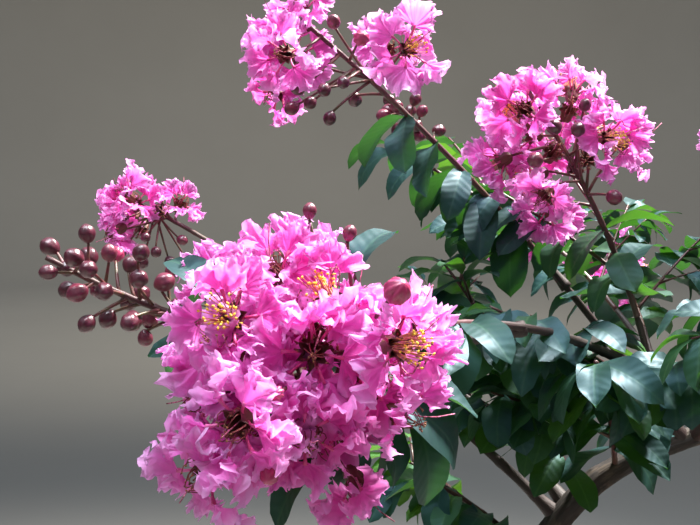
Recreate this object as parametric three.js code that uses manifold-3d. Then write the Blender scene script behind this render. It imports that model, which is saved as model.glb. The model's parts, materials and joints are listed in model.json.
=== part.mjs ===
// A small crape myrtle in flower, growing in a plain round clay pot.
// One S-shaped trunk stands on the potting soil and carries limbs that fan out all round. Each limb is a
// bare bough and then a spray: a leafy stem with side twigs, paired leaves and, on most, a truss of blossom
// or of round buds at its end. Millimetres, +Z up, origin in the middle of the pot's flat underside.
import * as THREE from "three";
import { mergeVertices } from "three/addons/utils/BufferGeometryUtils.js";
import Module from "manifold-3d";

const wasm = await Module();
wasm.setup();

// Pot: the outer radii and heights of a plain clay pot with a thick rim band.
const POT_HEIGHT = 211;
const FOOT_RADIUS = 76;
const SHOULDER_RADIUS = 103;
const RIM_RADIUS = 116;
const RIM_BAND = 38;
const RIM_ROUNDING = 3;
const POT_WALL = 8;
const POT_FLOOR = 14;
const POT_SEGMENTS = 36;
const DRAIN_HOLES = 3;
const DRAIN_RADIUS = 6;
const DRAIN_CIRCLE = 42;

const SOIL_TOP = 192;
const SOIL_DOME = 5;
const CLEARANCE = 0.3;

// Trunk: a cubic curve that leans left out of the pot and sweeps back over it. It starts under the soil's
// level and is cut flat there, where the foot is widest.
const TRUNK_CUT = SOIL_TOP + SOIL_DOME + CLEARANCE;
const TRUNK_FOOT = new THREE.Vector3(14, 3, TRUNK_CUT - 17);
const TRUNK_LEAN = new THREE.Vector3(-95, -22, 290);
const TRUNK_SWEEP = new THREE.Vector3(-80, -20, 377);
const TRUNK_CROWN = new THREE.Vector3(54, 0, 393);
const TRUNK_RADIUS = 9;
const TRUNK_TIP_RADIUS = 4.4;
const ROOT_FLARE = 7;
const FOOT_SHARE = 0.055;
const FLARE_SHARE = 0.045;

// Wood of the limbs, from the trunk out to the soft green ends. Sides and rings are those of each bent tube.
const TRUNK_SIDES = 10;
const TRUNK_RINGS = 20;
const BOUGH_SIDES = 5;
const BOUGH_RINGS = 5;
const BOUGH_RADIUS = 3.9;
const FORK_RADIUS = 2.8;
const STEM_SIDES = 4;
const STEM_RINGS = 6;
const STEM_RADIUS = 2.1;
const STEM_TIP_RADIUS = 1.4;
const TWIG_SIDES = 3;
const TWIG_RINGS = 1;
const TWIG_RADIUS = 1.2;
const TWIG_TIP_RADIUS = 0.85;
const STALK_RADIUS = 0.75;
const TWIG_SPACING = 40;
const TWIG_LENGTH = 66;
const TWIG_FORWARD = 0.75;
const TWIG_LIFT = 0.22;

// Leaves: opposite pairs, twice as far apart and a little larger here than on the plant.
const LEAF_LENGTH = 38;
const LEAF_WIDTH = 22;
const LEAF_CREASE = 2.4;
const LEAF_THICKNESS = 1.2;
const LEAF_SINK = 0.15;
const LEAF_SPACING = 27;
const LEAF_FORWARD = 0.85;
const LEAF_DROOP = 0.85;
const LEAF_ROLL = 1.1;

// Blossom: six crinkled petals on a cup, and the round buds beside them.
const PETALS = 6;
const FLOWER_RADIUS = 19;
const FLOWER_DISH = 4;
const CUP_DEPTH = 9;
const BUD_RADIUS = 3.6;
const TRUSS_LENGTHENING = 1.15;
const BUD_TRUSS_LENGTHENING = 1.9;
const GOLDEN_TURN = Math.PI * (3 - Math.sqrt(5));

const UP = new THREE.Vector3(0, 0, 1);
const FIRST_SEED = 1000;
const SEED_STEP = 77;

// The limbs. share is the place on the parent, heading the compass angle from +X, reach and rise the tip's
// place from the root, arch and bow how far the middle stands up and aside, and bare the share that is bough
// with no leaf. spread is half the width of the truss at the tip, core the share of that which its crowded
// middle fills, and turn where the first flower looks. A limb with no spread ends in leaves.
const LIMBS = [
  { name: "front_left", share: 0.95, heading: 229.5, reach: 339, rise: 74, arch: 34, bow: -7, bare: 0.6,
    flowers: 16, buds: 0, spread: 36, core: 0.7, turn: 1.48 },
  { name: "left_bud", from: "front_left", share: 0.52, heading: 187, reach: 172, rise: 28, arch: -18, bow: 0,
    bare: 0.6, flowers: 0, buds: 13, spread: 16, core: 0, turn: 0 },
  { name: "left", share: 0.63, heading: 165, reach: 237, rise: 160, arch: 14, bow: 0, bare: 0.6,
    flowers: 4, buds: 0, spread: 19, core: 0.7, turn: 4 },
  { name: "upper_left", share: 0.9, heading: 199, reach: 200, rise: 199, arch: 13, bow: 0, bare: 0.42,
    flowers: 5, buds: 4, spread: 26, core: 0, turn: 0 },
  { name: "upper_back", from: "upper_left", share: 0.34, heading: 158, reach: 92, rise: 92, arch: 4, bow: 0,
    bare: 0.2, flowers: 0, buds: 6, spread: 11, core: 0, turn: 0 },
  { name: "upper_front", share: 0.86, heading: 220, reach: 105, rise: 173, arch: 0, bow: 16, bare: 0.42,
    flowers: 9, buds: 0, spread: 29, core: 0.75, turn: 0.35 },
  { name: "low_left", share: 0.52, heading: 195, reach: 54, rise: 44, arch: 4, bow: 0, bare: 0,
    flowers: 0, buds: 0, spread: 0 },
  { name: "inner_left", share: 0.69, heading: 222, reach: 78, rise: 98, arch: 8, bow: 0, bare: 0,
    flowers: 0, buds: 0, spread: 0 },
  { name: "inner_front", share: 0.78, heading: 250, reach: 102, rise: 72, arch: 10, bow: 0, bare: 0,
    flowers: 0, buds: 0, spread: 0 },
  { name: "inner_mid", share: 0.84, heading: 232, reach: 66, rise: 58, arch: 10, bow: 0, bare: 0,
    flowers: 0, buds: 0, spread: 0 },
  { name: "front", share: 0.92, heading: 277, reach: 212, rise: 92, arch: 28, bow: 0, bare: 0.3,
    flowers: 5, buds: 0, spread: 24, core: 0.75, turn: 0 },
  { name: "front_low", from: "front", share: 0.14, heading: 292, reach: 158, rise: -18, arch: 16, bow: 0,
    bare: 0.3, flowers: 4, buds: 0, spread: 20, core: 0.75, turn: 0 },
  { name: "top_right", share: 1, heading: 8, reach: 92, rise: 208, arch: 0, bow: 12, bare: 0.45,
    flowers: 6, buds: 0, spread: 25, core: 0.75, turn: 0 },
  { name: "front_right", share: 0.985, heading: 314, reach: 226, rise: 70, arch: 30, bow: 0, bare: 0.35,
    flowers: 6, buds: 0, spread: 25, core: 0.75, turn: 0 },
  { name: "right_low", from: "front_right", share: 0.25, heading: 345, reach: 176, rise: -8, arch: 18, bow: 0,
    bare: 0.25, flowers: 4, buds: 0, spread: 20, core: 0.75, turn: 0 },
  { name: "right", from: "top_right", share: 0.16, heading: 354, reach: 196, rise: 66, arch: 22, bow: 0,
    bare: 0.3, flowers: 5, buds: 0, spread: 24, core: 0.75, turn: 0 },
  { name: "right_back", share: 0.97, heading: 36, reach: 222, rise: 72, arch: 28, bow: 0, bare: 0.35,
    flowers: 5, buds: 0, spread: 23, core: 0.75, turn: 0 },
  { name: "back", share: 0.88, heading: 84, reach: 222, rise: 66, arch: 26, bow: 0, bare: 0.35,
    flowers: 5, buds: 0, spread: 24, core: 0.75, turn: 0 },
  { name: "back_left", share: 0.66, heading: 128, reach: 218, rise: 62, arch: 26, bow: 0, bare: 0.35,
    flowers: 5, buds: 0, spread: 22, core: 0.75, turn: 0 },
  { name: "inner_back", from: "back", share: 0.24, heading: 122, reach: 130, rise: 76, arch: 12, bow: 0,
    bare: 0.2, flowers: 4, buds: 0, spread: 20, core: 0.75, turn: 0 },
  { name: "top_back", from: "top_right", share: 0.3, heading: 88, reach: 110, rise: 108, arch: 8, bow: 0,
    bare: 0.2, flowers: 5, buds: 0, spread: 21, core: 0.75, turn: 0 },
  { name: "top_front", from: "top_right", share: 0.38, heading: 292, reach: 104, rise: 98, arch: 10, bow: 0,
    bare: 0.2, flowers: 5, buds: 0, spread: 23, core: 0.75, turn: 0 },
];

// A seeded run of numbers from 0 to 1, the same on every machine.
function seeded(seed) {
  let state = seed >>> 0;
  return () => {
    state = (Math.imul(state, 1664525) + 1013904223) >>> 0;
    return state / 2 ** 32;
  };
}

function solidOf(geometry) {
  geometry.deleteAttribute("normal");
  geometry.deleteAttribute("uv");
  const merged = mergeVertices(geometry, 1e-4);
  const made = new wasm.Manifold(
    new wasm.Mesh({
      numProp: 3,
      vertProperties: merged.getAttribute("position").array,
      triVerts: new Uint32Array(merged.index.array),
    }),
  );
  if (made.volume() < 0) throw new Error("a piece is inside out");
  return made;
}

function geometryOf(solid) {
  const { vertProperties, triVerts } = solid.getMesh();
  const geometry = new THREE.BufferGeometry();
  geometry.setAttribute("position", new THREE.BufferAttribute(vertProperties, 3));
  geometry.setIndex(new THREE.BufferAttribute(triVerts, 1));
  geometry.computeVertexNormals();
  return geometry;
}

// The largest body of a solid: loose scraps go, and a hollow sealed inside is filled.
function mainBody(solid) {
  return solid.decompose().reduce((best, body) => (body.volume() > best.volume() ? body : best));
}

// Moves every vertex of a geometry to place(vertex), which changes the vector it is given.
function reshape(geometry, place) {
  const at = geometry.getAttribute("position");
  const vertex = new THREE.Vector3();
  for (let i = 0; i < at.count; i++) {
    vertex.fromBufferAttribute(at, i);
    place(vertex);
    at.setXYZ(i, vertex.x, vertex.y, vertex.z);
  }
  return geometry;
}

// A closed cylinder bent along a curve, with radiusAt giving its radius at each share of the length.
function taperedTube(curve, radiusAt, sides, rings) {
  const shares = Array.from({ length: rings + 1 }, (_, ring) => ring / rings);
  const frames = [];
  let across = null;
  for (const share of shares) {
    const along = curve.getTangent(share);
    across ??= new THREE.Vector3(along.z, 0.3, -along.x);
    across.addScaledVector(along, -across.dot(along)).normalize();
    frames.push({ centre: curve.getPoint(share), across: across.clone(), side: across.clone().cross(along) });
  }
  const tube = new THREE.CylinderGeometry(1, 1, 1, sides, rings);
  return reshape(tube, (vertex) => {
    const share = vertex.y + 0.5;
    const { centre, across, side } = frames[Math.round(share * rings)];
    const [x, z] = [vertex.x * radiusAt(share), vertex.z * radiusAt(share)];
    vertex.copy(centre).addScaledVector(side, z).addScaledVector(across, x);
  });
}

function potSolid() {
  const inner = (z) => {
    const share = (z - POT_FLOOR) / (POT_HEIGHT - POT_FLOOR);
    return FOOT_RADIUS - POT_WALL + share * (SHOULDER_RADIUS + 4 - FOOT_RADIUS);
  };
  const shoulder = POT_HEIGHT - RIM_BAND;
  const profile = [
    [0, 0],
    [FOOT_RADIUS - RIM_ROUNDING, 0],
    [FOOT_RADIUS, RIM_ROUNDING],
    [SHOULDER_RADIUS, shoulder - 1],
    [RIM_RADIUS - RIM_ROUNDING, shoulder],
    [RIM_RADIUS - 1, shoulder + RIM_ROUNDING],
    [RIM_RADIUS, POT_HEIGHT - RIM_ROUNDING],
    [RIM_RADIUS - RIM_ROUNDING, POT_HEIGHT],
    [inner(POT_HEIGHT) + 2, POT_HEIGHT],
    [inner(POT_HEIGHT), POT_HEIGHT - RIM_ROUNDING],
    [inner(POT_FLOOR), POT_FLOOR],
    [0, POT_FLOOR],
  ].map(([radius, z]) => new THREE.Vector2(radius, z));
  let pot = solidOf(new THREE.LatheGeometry(profile, POT_SEGMENTS).rotateX(Math.PI / 2));
  for (let hole = 0; hole < DRAIN_HOLES; hole++) {
    const turn = (hole * 2 * Math.PI) / DRAIN_HOLES;
    const bore = new THREE.CylinderGeometry(DRAIN_RADIUS, DRAIN_RADIUS, POT_FLOOR * 3, 12)
      .rotateX(Math.PI / 2)
      .translate(DRAIN_CIRCLE * Math.cos(turn), DRAIN_CIRCLE * Math.sin(turn), POT_FLOOR / 2);
    pot = pot.subtract(solidOf(bore));
  }
  const cavity = [
    [0, POT_FLOOR + CLEARANCE],
    [inner(POT_FLOOR) - CLEARANCE, POT_FLOOR + CLEARANCE],
    [inner(SOIL_TOP) - CLEARANCE, SOIL_TOP],
    [inner(SOIL_TOP) * 0.6, SOIL_TOP + SOIL_DOME * 0.8],
    [(TRUNK_RADIUS + ROOT_FLARE) * 1.7, SOIL_TOP + SOIL_DOME],
    [0, SOIL_TOP + SOIL_DOME],
  ].map(([radius, z]) => new THREE.Vector2(radius, z));
  const soil = solidOf(new THREE.LatheGeometry(cavity, POT_SEGMENTS).rotateX(Math.PI / 2));
  return { pot, soil };
}

const trunkCurve = new THREE.CubicBezierCurve3(TRUNK_FOOT, TRUNK_LEAN, TRUNK_SWEEP, TRUNK_CROWN);

function trunkRadius(share) {
  const taper = THREE.MathUtils.lerp(TRUNK_RADIUS, TRUNK_TIP_RADIUS, share ** 1.2);
  return taper + ROOT_FLARE * Math.exp(-Math.max(0, share - FOOT_SHARE) / FLARE_SHARE);
}

// The trunk as a tube, cut flat where it meets the soil. extra makes it that much fatter all over.
function trunkSolid(extra) {
  const radiusAt = (share) => trunkRadius(share) + extra;
  const tube = solidOf(taperedTube(trunkCurve, radiusAt, TRUNK_SIDES, TRUNK_RINGS));
  return tube.trimByPlane([0, 0, 1], TRUNK_CUT);
}

// The whole line of a limb, a parabola from its root on the parent to its tip.
function limbCurve(limb, parentCurve) {
  const heading = THREE.MathUtils.degToRad(limb.heading);
  const out = new THREE.Vector3(Math.cos(heading), Math.sin(heading), 0);
  const aside = new THREE.Vector3(-out.y, out.x, 0);
  const root = parentCurve.getPoint(limb.share);
  const tip = root.clone().addScaledVector(out, limb.reach).addScaledVector(UP, limb.rise);
  const bend = root.clone().lerp(tip, 0.5).addScaledVector(UP, 2 * limb.arch);
  bend.addScaledVector(aside, 2 * limb.bow);
  return new THREE.QuadraticBezierCurve3(root, bend, tip);
}

// The part of a parabola between two shares of it.
function stretchOf(curve, from, to) {
  const bend = curve.v0.clone().multiplyScalar((1 - from) * (1 - to));
  bend.addScaledVector(curve.v1, from + to - 2 * from * to).addScaledVector(curve.v2, from * to);
  return new THREE.QuadraticBezierCurve3(curve.getPoint(from), bend, curve.getPoint(to));
}

// A place on a bent tube's own straight-edged middle line, which lies a little inside the curve.
function middleOf(curve, rings, share) {
  const ring = Math.min(Math.floor(share * rings), rings - 1);
  return curve.getPoint(ring / rings).lerp(curve.getPoint((ring + 1) / rings), share * rings - ring);
}

// The bare part of a limb. extra makes it that much fatter all over.
function boughSolid(limb, curve, extra) {
  const root = limb.from ? FORK_RADIUS : BOUGH_RADIUS;
  const radiusAt = (share) => THREE.MathUtils.lerp(root, STEM_RADIUS, share) + extra;
  return solidOf(taperedTube(stretchOf(curve, 0, limb.bare), radiusAt, BOUGH_SIDES, BOUGH_RINGS));
}

// A flat blade with two upper and two lower slopes on each side of its crease, from base to tip.
function leafSolid(base, direction, roll, length) {
  const along = direction.clone().normalize();
  const side = along.clone().cross(UP).normalize().applyAxisAngle(along, roll);
  const face = side.clone().cross(along).normalize();
  const width = (LEAF_WIDTH / LEAF_LENGTH) * length;
  const blade = new THREE.OctahedronGeometry(1);
  return solidOf(
    reshape(blade, (vertex) => {
      const { x, y, z } = vertex;
      const forward = x !== 0 ? 0.46 : z !== 0 ? 0.34 : (y + 1) / 2;
      const bent = x !== 0 ? LEAF_CREASE : y > 0 ? -LEAF_CREASE : 0;
      vertex.copy(base).addScaledVector(along, forward * length + LEAF_SINK);
      vertex.addScaledVector(side, (x * width) / 2);
      vertex.addScaledVector(face, (z * LEAF_THICKNESS) / 2 + bent);
    }),
  );
}

// A shallow dish on its cup, with a corner for each petal, every second one lifted.
function flowerSolid(centre, facing, turn, depth) {
  const side = new THREE.Vector3(facing.z, 0.4, -facing.x).cross(facing).normalize();
  const rise = side.clone().cross(facing);
  const dish = new THREE.SphereGeometry(1, PETALS, 2);
  return solidOf(
    reshape(dish, (vertex) => {
      const { x, y, z } = vertex;
      vertex.copy(centre);
      if (Math.abs(y) > 0.5) {
        vertex.addScaledVector(facing, y > 0 ? 0 : -depth);
        return;
      }
      const petal = Math.round((Math.atan2(z, x) / Math.PI + 1) * (PETALS / 2));
      const angle = (petal * 2 * Math.PI) / PETALS + turn;
      vertex.addScaledVector(side, FLOWER_RADIUS * Math.cos(angle));
      vertex.addScaledVector(rise, FLOWER_RADIUS * Math.sin(angle));
      vertex.addScaledVector(facing, petal % 2 === 0 ? FLOWER_DISH : -FLOWER_DISH / 2);
    }),
  );
}

function budSolid(centre, direction) {
  const bud = new THREE.OctahedronGeometry(BUD_RADIUS * 1.25);
  const place = (vertex) => vertex.addScaledVector(direction, vertex.dot(direction) * 0.1).add(centre);
  return solidOf(reshape(bud, place));
}

// A straight three-sided twig or stalk.
function straightTwig(line, radius, tipRadius) {
  const radiusAt = (share) => THREE.MathUtils.lerp(radius, tipRadius, share);
  return solidOf(taperedTube(line, radiusAt, TWIG_SIDES, TWIG_RINGS));
}

// The unit direction that leaves a stem sideways: turn is the angle about the stem, forward how far it leans
// along it.
function sideways(along, turn, forward) {
  const flat = along.clone().cross(UP);
  if (flat.length() < 0.15) flat.set(1, 0, 0);
  flat.normalize().applyAxisAngle(along, turn);
  return flat.addScaledVector(along, forward).normalize();
}

// Leaves in opposite pairs along a stem, and one at its end where endLeaf says so. Pairs on an upright stem
// stand crosswise to each other.
function leavesOn(curve, rings, from, to, length, endLeaf, draw) {
  const run = curve.getPoint(from).distanceTo(curve.getPoint(to));
  const pairs = Math.max(1, Math.round(run / LEAF_SPACING));
  const made = [];
  for (let pair = 0; pair < pairs; pair++) {
    const share = from + ((pair + 0.6) / pairs) * (to - from);
    const along = curve.getTangent(share);
    const steep = Math.abs(along.z) > 0.75 ? (pair % 2) * (Math.PI / 2) : 0;
    const turn = steep + (draw() - 0.5) * 0.9;
    for (const hand of [0, Math.PI]) {
      const direction = sideways(along, turn + hand, LEAF_FORWARD * (0.7 + 0.6 * draw()));
      direction.z += 0.1 - LEAF_DROOP * draw();
      const roll = LEAF_ROLL * (draw() - 0.5);
      made.push(leafSolid(middleOf(curve, rings, share), direction, roll, length * (0.84 + 0.28 * draw())));
    }
  }
  if (endLeaf) {
    const direction = curve.getTangent(1);
    direction.z -= 0.25;
    made.push(leafSolid(middleOf(curve, rings, 0.97), direction, 0, length * 0.9));
  }
  return made;
}

// The places of a truss's flowers and buds, set round a ball about the stem's end by the golden angle, each
// with the root of its stalk lower on the stem.
function trussPlaces(stem, limb, from, draw) {
  const count = limb.flowers + limb.buds;
  const axis = stem.getTangent(1);
  const stretch = limb.spread * ((limb.flowers > 0 ? TRUSS_LENGTHENING : BUD_TRUSS_LENGTHENING) - 1);
  const centre = stem.getPoint(from).lerp(stem.getPoint(1), 0.55);
  const places = Array.from({ length: count }, (_, place) => {
    const rank = (place + 0.5) / count;
    const lean = 1 - 1.75 * rank;
    const isBud = Math.floor((place + 1) * (limb.buds / count)) > Math.floor(place * (limb.buds / count));
    const out = sideways(axis, place * GOLDEN_TURN + limb.turn, 0).multiplyScalar(Math.sqrt(1 - lean ** 2));
    out.addScaledVector(axis, lean);
    const end = centre.clone().addScaledVector(out, limb.spread * (0.9 + 0.2 * draw()));
    end.addScaledVector(axis, lean * stretch);
    const root = middleOf(stem, STEM_RINGS, from + (1 - from) * (0.92 - 0.85 * rank));
    return { isBud, end, out, root, turn: draw() * Math.PI };
  });
  return { centre, places };
}

// The small ball of crowded stalks in the middle of a full truss, which its flowers stand out of.
function coreSolid(centre, radius) {
  return solidOf(new THREE.IcosahedronGeometry(radius, 0).translate(centre.x, centre.y, centre.z));
}

// The pieces already in place, each with its box, that later pieces have to keep clear of.
const taken = [];

function boxOf(solid) {
  const { min, max } = solid.boundingBox();
  return new THREE.Box3(new THREE.Vector3(...min), new THREE.Vector3(...max));
}

function meets(piece, other) {
  const shared = piece.intersect(other);
  const some = !shared.isEmpty();
  shared.delete();
  return some;
}

function isFree(piece) {
  const box = boxOf(piece);
  return !taken.some((other) => box.intersectsBox(other.box) && meets(piece, other.solid));
}

const claim = (solid) => taken.push({ solid, box: boxOf(solid) });

// What is left of a limb where it starts inside an earlier one.
function clearOfTaken(solid) {
  const box = boxOf(solid);
  const near = taken.filter((other) => box.intersectsBox(other.box));
  return mainBody(near.reduce((rest, other) => rest.subtract(other.solid), solid));
}

// Side twigs along a stem, alternately left and right of it, as straight lines.
function twigsOn(stem, from, to, draw) {
  const stemLength = stem.getLength();
  const count = Math.round((stemLength * (to - from)) / TWIG_SPACING);
  return Array.from({ length: count }, (_, place) => {
    const share = from + ((place + 0.35) / count) * (to - from);
    const direction = sideways(stem.getTangent(share), place * Math.PI + (draw() - 0.5) * 1.1, TWIG_FORWARD);
    direction.z += TWIG_LIFT;
    const root = middleOf(stem, STEM_RINGS, share);
    const length = TWIG_LENGTH * (0.75 + 0.5 * draw()) * (1 - 0.35 * share);
    return new THREE.LineCurve3(root, root.clone().addScaledVector(direction.normalize(), length));
  });
}

// A spray as the pieces of one solid: its stem, then each twig, leaf and flower that touches nothing else.
function sprayPieces(limb, curve, seed) {
  const draw = seeded(seed);
  const gap = CLEARANCE / curve.getLength();
  const stem = stretchOf(curve, limb.bare > 0 ? limb.bare + gap : 0, 1);
  const stemLength = stem.getLength();
  const trussLength = 2 * limb.spread * (limb.flowers > 0 ? TRUSS_LENGTHENING : BUD_TRUSS_LENGTHENING);
  const leafy = limb.spread > 0 ? Math.max(0.15, 1 - trussLength / stemLength) : 1;
  const bare = limb.bare > 0 ? 0.04 : 12 / stemLength;
  const stemRadius = (share) => THREE.MathUtils.lerp(STEM_RADIUS, STEM_TIP_RADIUS, share);
  const wood = [clearOfTaken(solidOf(taperedTube(stem, stemRadius, STEM_SIDES, STEM_RINGS)))];
  const leaves = [];
  const addLeaves = (made) => {
    for (const leaf of made) {
      if (isFree(leaf) && !leaves.some((other) => meets(leaf, other))) leaves.push(leaf);
    }
  };

  twigsOn(stem, bare, leafy, draw).forEach((twig, place) => {
    const tube = straightTwig(twig, TWIG_RADIUS, TWIG_TIP_RADIUS);
    if (!isFree(tube)) return;
    wood.push(tube);
    addLeaves(leavesOn(twig, TWIG_RINGS, 0.3, 0.95, LEAF_LENGTH * 0.92, true, seeded(seed * 31 + place)));
  });
  addLeaves(leavesOn(stem, STEM_RINGS, bare, leafy, LEAF_LENGTH, limb.spread === 0, seeded(seed * 17 + 5)));

  const blossom = [];
  if (limb.spread > 0) {
    const { centre, places } = trussPlaces(stem, limb, leafy, draw);
    const cupDepth = limb.core > 0 ? limb.spread * (1 - 0.5 * limb.core) : CUP_DEPTH;
    if (limb.core > 0) blossom.push(coreSolid(centre, limb.spread * limb.core));
    for (const { isBud, end, out, root, turn } of places) {
      const made = [isBud ? budSolid(end, out) : flowerSolid(end, out, turn, cupDepth)];
      const heel = end.clone().addScaledVector(out, isBud ? 0 : -CUP_DEPTH / 3);
      if (isBud || limb.core === 0)
        made.push(straightTwig(new THREE.LineCurve3(root, heel), STALK_RADIUS, STALK_RADIUS));
      if (made.every(isFree)) blossom.push(...made);
    }
  }
  return [...wood, ...leaves, ...blossom];
}

// Every solid gets its own named mesh. The colours are those of the real plant in sunshine.
const MATERIALS = {
  clay: new THREE.MeshStandardMaterial({ color: 0xb5623c, roughness: 0.85 }),
  soil: new THREE.MeshStandardMaterial({ color: 0x2e231b, roughness: 0.95 }),
  bark: new THREE.MeshStandardMaterial({ color: 0x7b6654, roughness: 0.8 }),
  foliage: new THREE.MeshStandardMaterial({ color: 0x2f5a33, roughness: 0.4 }),
};

const plant = new THREE.Group();

function addNode(name, solid, material) {
  const mesh = new THREE.Mesh(geometryOf(solid), material);
  mesh.name = name;
  plant.add(mesh);
}

const { pot, soil } = potSolid();
addNode("pot", pot, MATERIALS.clay);
addNode("soil", soil, MATERIALS.soil);
addNode("trunk", trunkSolid(0), MATERIALS.bark);
claim(trunkSolid(CLEARANCE));

const curves = { trunk: trunkCurve };
for (const limb of LIMBS) {
  const curve = limbCurve(limb, curves[limb.from ?? "trunk"]);
  curves[limb.name] = curve;
  if (limb.bare === 0) continue;
  addNode("bough_" + limb.name, clearOfTaken(boughSolid(limb, curve, 0)), MATERIALS.bark);
  claim(boughSolid(limb, curve, CLEARANCE));
}
LIMBS.forEach((limb, index) => {
  const pieces = sprayPieces(limb, curves[limb.name], FIRST_SEED + index * SEED_STEP);
  addNode("spray_" + limb.name, mainBody(wasm.Manifold.union(pieces)), MATERIALS.foliage);
  pieces.forEach(claim);
});

export default plant;
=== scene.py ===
"""Looks of a small crape myrtle in flower in a round clay pot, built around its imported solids.

Sizes are in millimetres and are turned into metres where a mesh is made. The origin is in the middle of the
pot's flat underside. Every draw of chance is seeded, so each run grows the same plant.
"""
import itertools
import json
import math

import bpy
import numpy as np
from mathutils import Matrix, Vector, noise

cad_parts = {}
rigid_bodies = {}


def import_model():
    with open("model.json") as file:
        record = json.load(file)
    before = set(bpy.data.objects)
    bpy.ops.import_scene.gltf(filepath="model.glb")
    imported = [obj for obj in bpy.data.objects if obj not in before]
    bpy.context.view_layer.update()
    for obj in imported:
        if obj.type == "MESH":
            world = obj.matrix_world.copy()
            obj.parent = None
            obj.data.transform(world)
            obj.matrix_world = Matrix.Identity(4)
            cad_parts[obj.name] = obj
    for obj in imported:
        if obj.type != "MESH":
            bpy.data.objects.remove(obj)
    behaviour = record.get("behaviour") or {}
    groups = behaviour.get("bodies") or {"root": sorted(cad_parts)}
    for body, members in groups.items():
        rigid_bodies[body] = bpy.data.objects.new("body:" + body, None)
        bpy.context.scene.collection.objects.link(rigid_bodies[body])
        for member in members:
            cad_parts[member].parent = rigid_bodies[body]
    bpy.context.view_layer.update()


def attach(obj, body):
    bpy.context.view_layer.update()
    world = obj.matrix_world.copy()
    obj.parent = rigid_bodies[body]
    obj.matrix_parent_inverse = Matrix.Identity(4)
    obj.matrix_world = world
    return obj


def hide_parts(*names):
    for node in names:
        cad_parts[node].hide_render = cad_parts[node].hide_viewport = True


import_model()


# The pot: a plain round pot of red clay, thrown on a wheel, with a thick rim band, three drain holes and a
# flat foot. The fired clay is porous and matt, darker where damp and bloomed with pale lime, most of all low
# down.
MM = 0.001
POT_HEIGHT = 211
FOOT_RADIUS = 76
SHOULDER_RADIUS = 103
RIM_RADIUS = 116
RIM_BAND = 38
RIM_ROUNDING = 3
POT_WALL = 8
POT_FLOOR = 14
INNER_FLARE = 4
LIP_SLOPE = 2
BEVEL = 1
AXIS_GAP = 0.5
CORNER_CUT = 2.2
MOST_CUT = 0.25
DRAIN_HOLES = 3
DRAIN_RADIUS = 6
DRAIN_CIRCLE = 42
DRILL_OVERRUN = 8.0
DRILL_SIDES = 32
ROUNDINGS = 2
POT_SIDES = 128
PROFILE_STEP = 3.2
# The clay's unevenness grows from nothing at the flat underside to its full depth at RELIEF_START. The depths
# are those at RELIEF_RADIUS.
RELIEF_START = 6
RELIEF_RADIUS = 110
OUT_OF_ROUND = 0.5
OVAL_TWIST = 0.012
THROWING_RING = 0.28
RING_PITCH = 1.35
RING_WANDER = 0.7
DENT = 0.7
DENT_PITCH = 0.03
RIM_TOP = 8
RIM_WAVE = 0.5
SLOW_PITCH = 0.05
CLAY = (0.42, 0.145, 0.066, 1)
CLAY_PALE = (0.56, 0.27, 0.16, 1)
CLAY_DAMP = (0.25, 0.085, 0.042, 1)
LIME_BLOOM = (0.62, 0.52, 0.44, 1)
# How high up the bloom has its least cover, how low down it has its most, and how much these are.
LIME_HEIGHTS = (150.0, 20.0)
LIME_COVERS = (0.12, 0.85)


class Pile:
    """The corners and faces of many small shapes that become one mesh."""

    def __init__(self):
        self.corners, self.faces, self.tints, self.places, self.count = [], [], [], [], 0

    def add(self, corners, faces, tint=0, place=None):
        """Takes corners, rows of 3 or 4 corner numbers, a material and a coordinate for each corner."""
        corners = np.asarray(corners, float).reshape(-1, 3)
        place = corners if place is None else np.asarray(place, float).reshape(-1, 3)
        for rows in faces if isinstance(faces, tuple) else (faces,):
            self.faces.append(np.asarray(rows) + self.count)
            self.tints.append(np.full(len(rows), tint))
        self.corners.append(corners)
        self.places.append(place)
        self.count += len(corners)

    def mesh(self, name, materials):
        """The object that the pile makes. Its attribute "place" holds the coordinates for the materials."""
        made = bpy.data.meshes.new(name)
        corners = np.concatenate(self.corners) * MM
        loops = np.concatenate([rows.ravel() for rows in self.faces])
        sizes = np.concatenate([np.full(len(rows), rows.shape[1]) for rows in self.faces])
        made.vertices.add(len(corners))
        made.vertices.foreach_set("co", corners.ravel())
        made.loops.add(len(loops))
        made.loops.foreach_set("vertex_index", loops)
        made.polygons.add(len(sizes))
        made.polygons.foreach_set("loop_start", np.cumsum(sizes) - sizes)
        made.polygons.foreach_set("material_index", np.concatenate(self.tints))
        made.polygons.foreach_set("use_smooth", np.full(len(sizes), True))
        places = made.attributes.new("place", "FLOAT_VECTOR", "POINT")
        places.data.foreach_set("vector", np.concatenate(self.places).ravel())
        made.update(calc_edges=True)
        for material in materials:
            made.materials.append(material)
        built = bpy.data.objects.new(name, made)
        bpy.context.scene.collection.objects.link(built)
        return built


def grid_faces(rows, columns, wrap=False):
    """Four-sided faces between the rows of a grid of corners, closed round each row where wrap says so."""
    row, column = np.mgrid[0 : rows - 1, 0 : columns if wrap else columns - 1]
    here, beside = row * columns + column, row * columns + (column + 1) % columns
    return np.stack([here, beside, beside + columns, here + columns], -1).reshape(-1, 4)


def pot_inside(height):
    """The inner radius of the pot at a height above its underside."""
    share = (height - POT_FLOOR) / (POT_HEIGHT - POT_FLOOR)
    return FOOT_RADIUS - POT_WALL + share * (SHOULDER_RADIUS + INNER_FLARE - FOOT_RADIUS)


def rounded(profile):
    """A profile with its corners cut, and the new ones cut again. The two ends stay."""
    for _ in range(ROUNDINGS):
        cut = [profile[0]]
        for first, second in zip(profile, profile[1:]):
            reach = min(MOST_CUT, CORNER_CUT / max(math.dist(first, second), 0.01))
            cut.append([a + (b - a) * reach for a, b in zip(first, second)])
            cut.append([b + (a - b) * reach for a, b in zip(first, second)])
        profile = [*cut, profile[-1]]
    return profile


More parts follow.
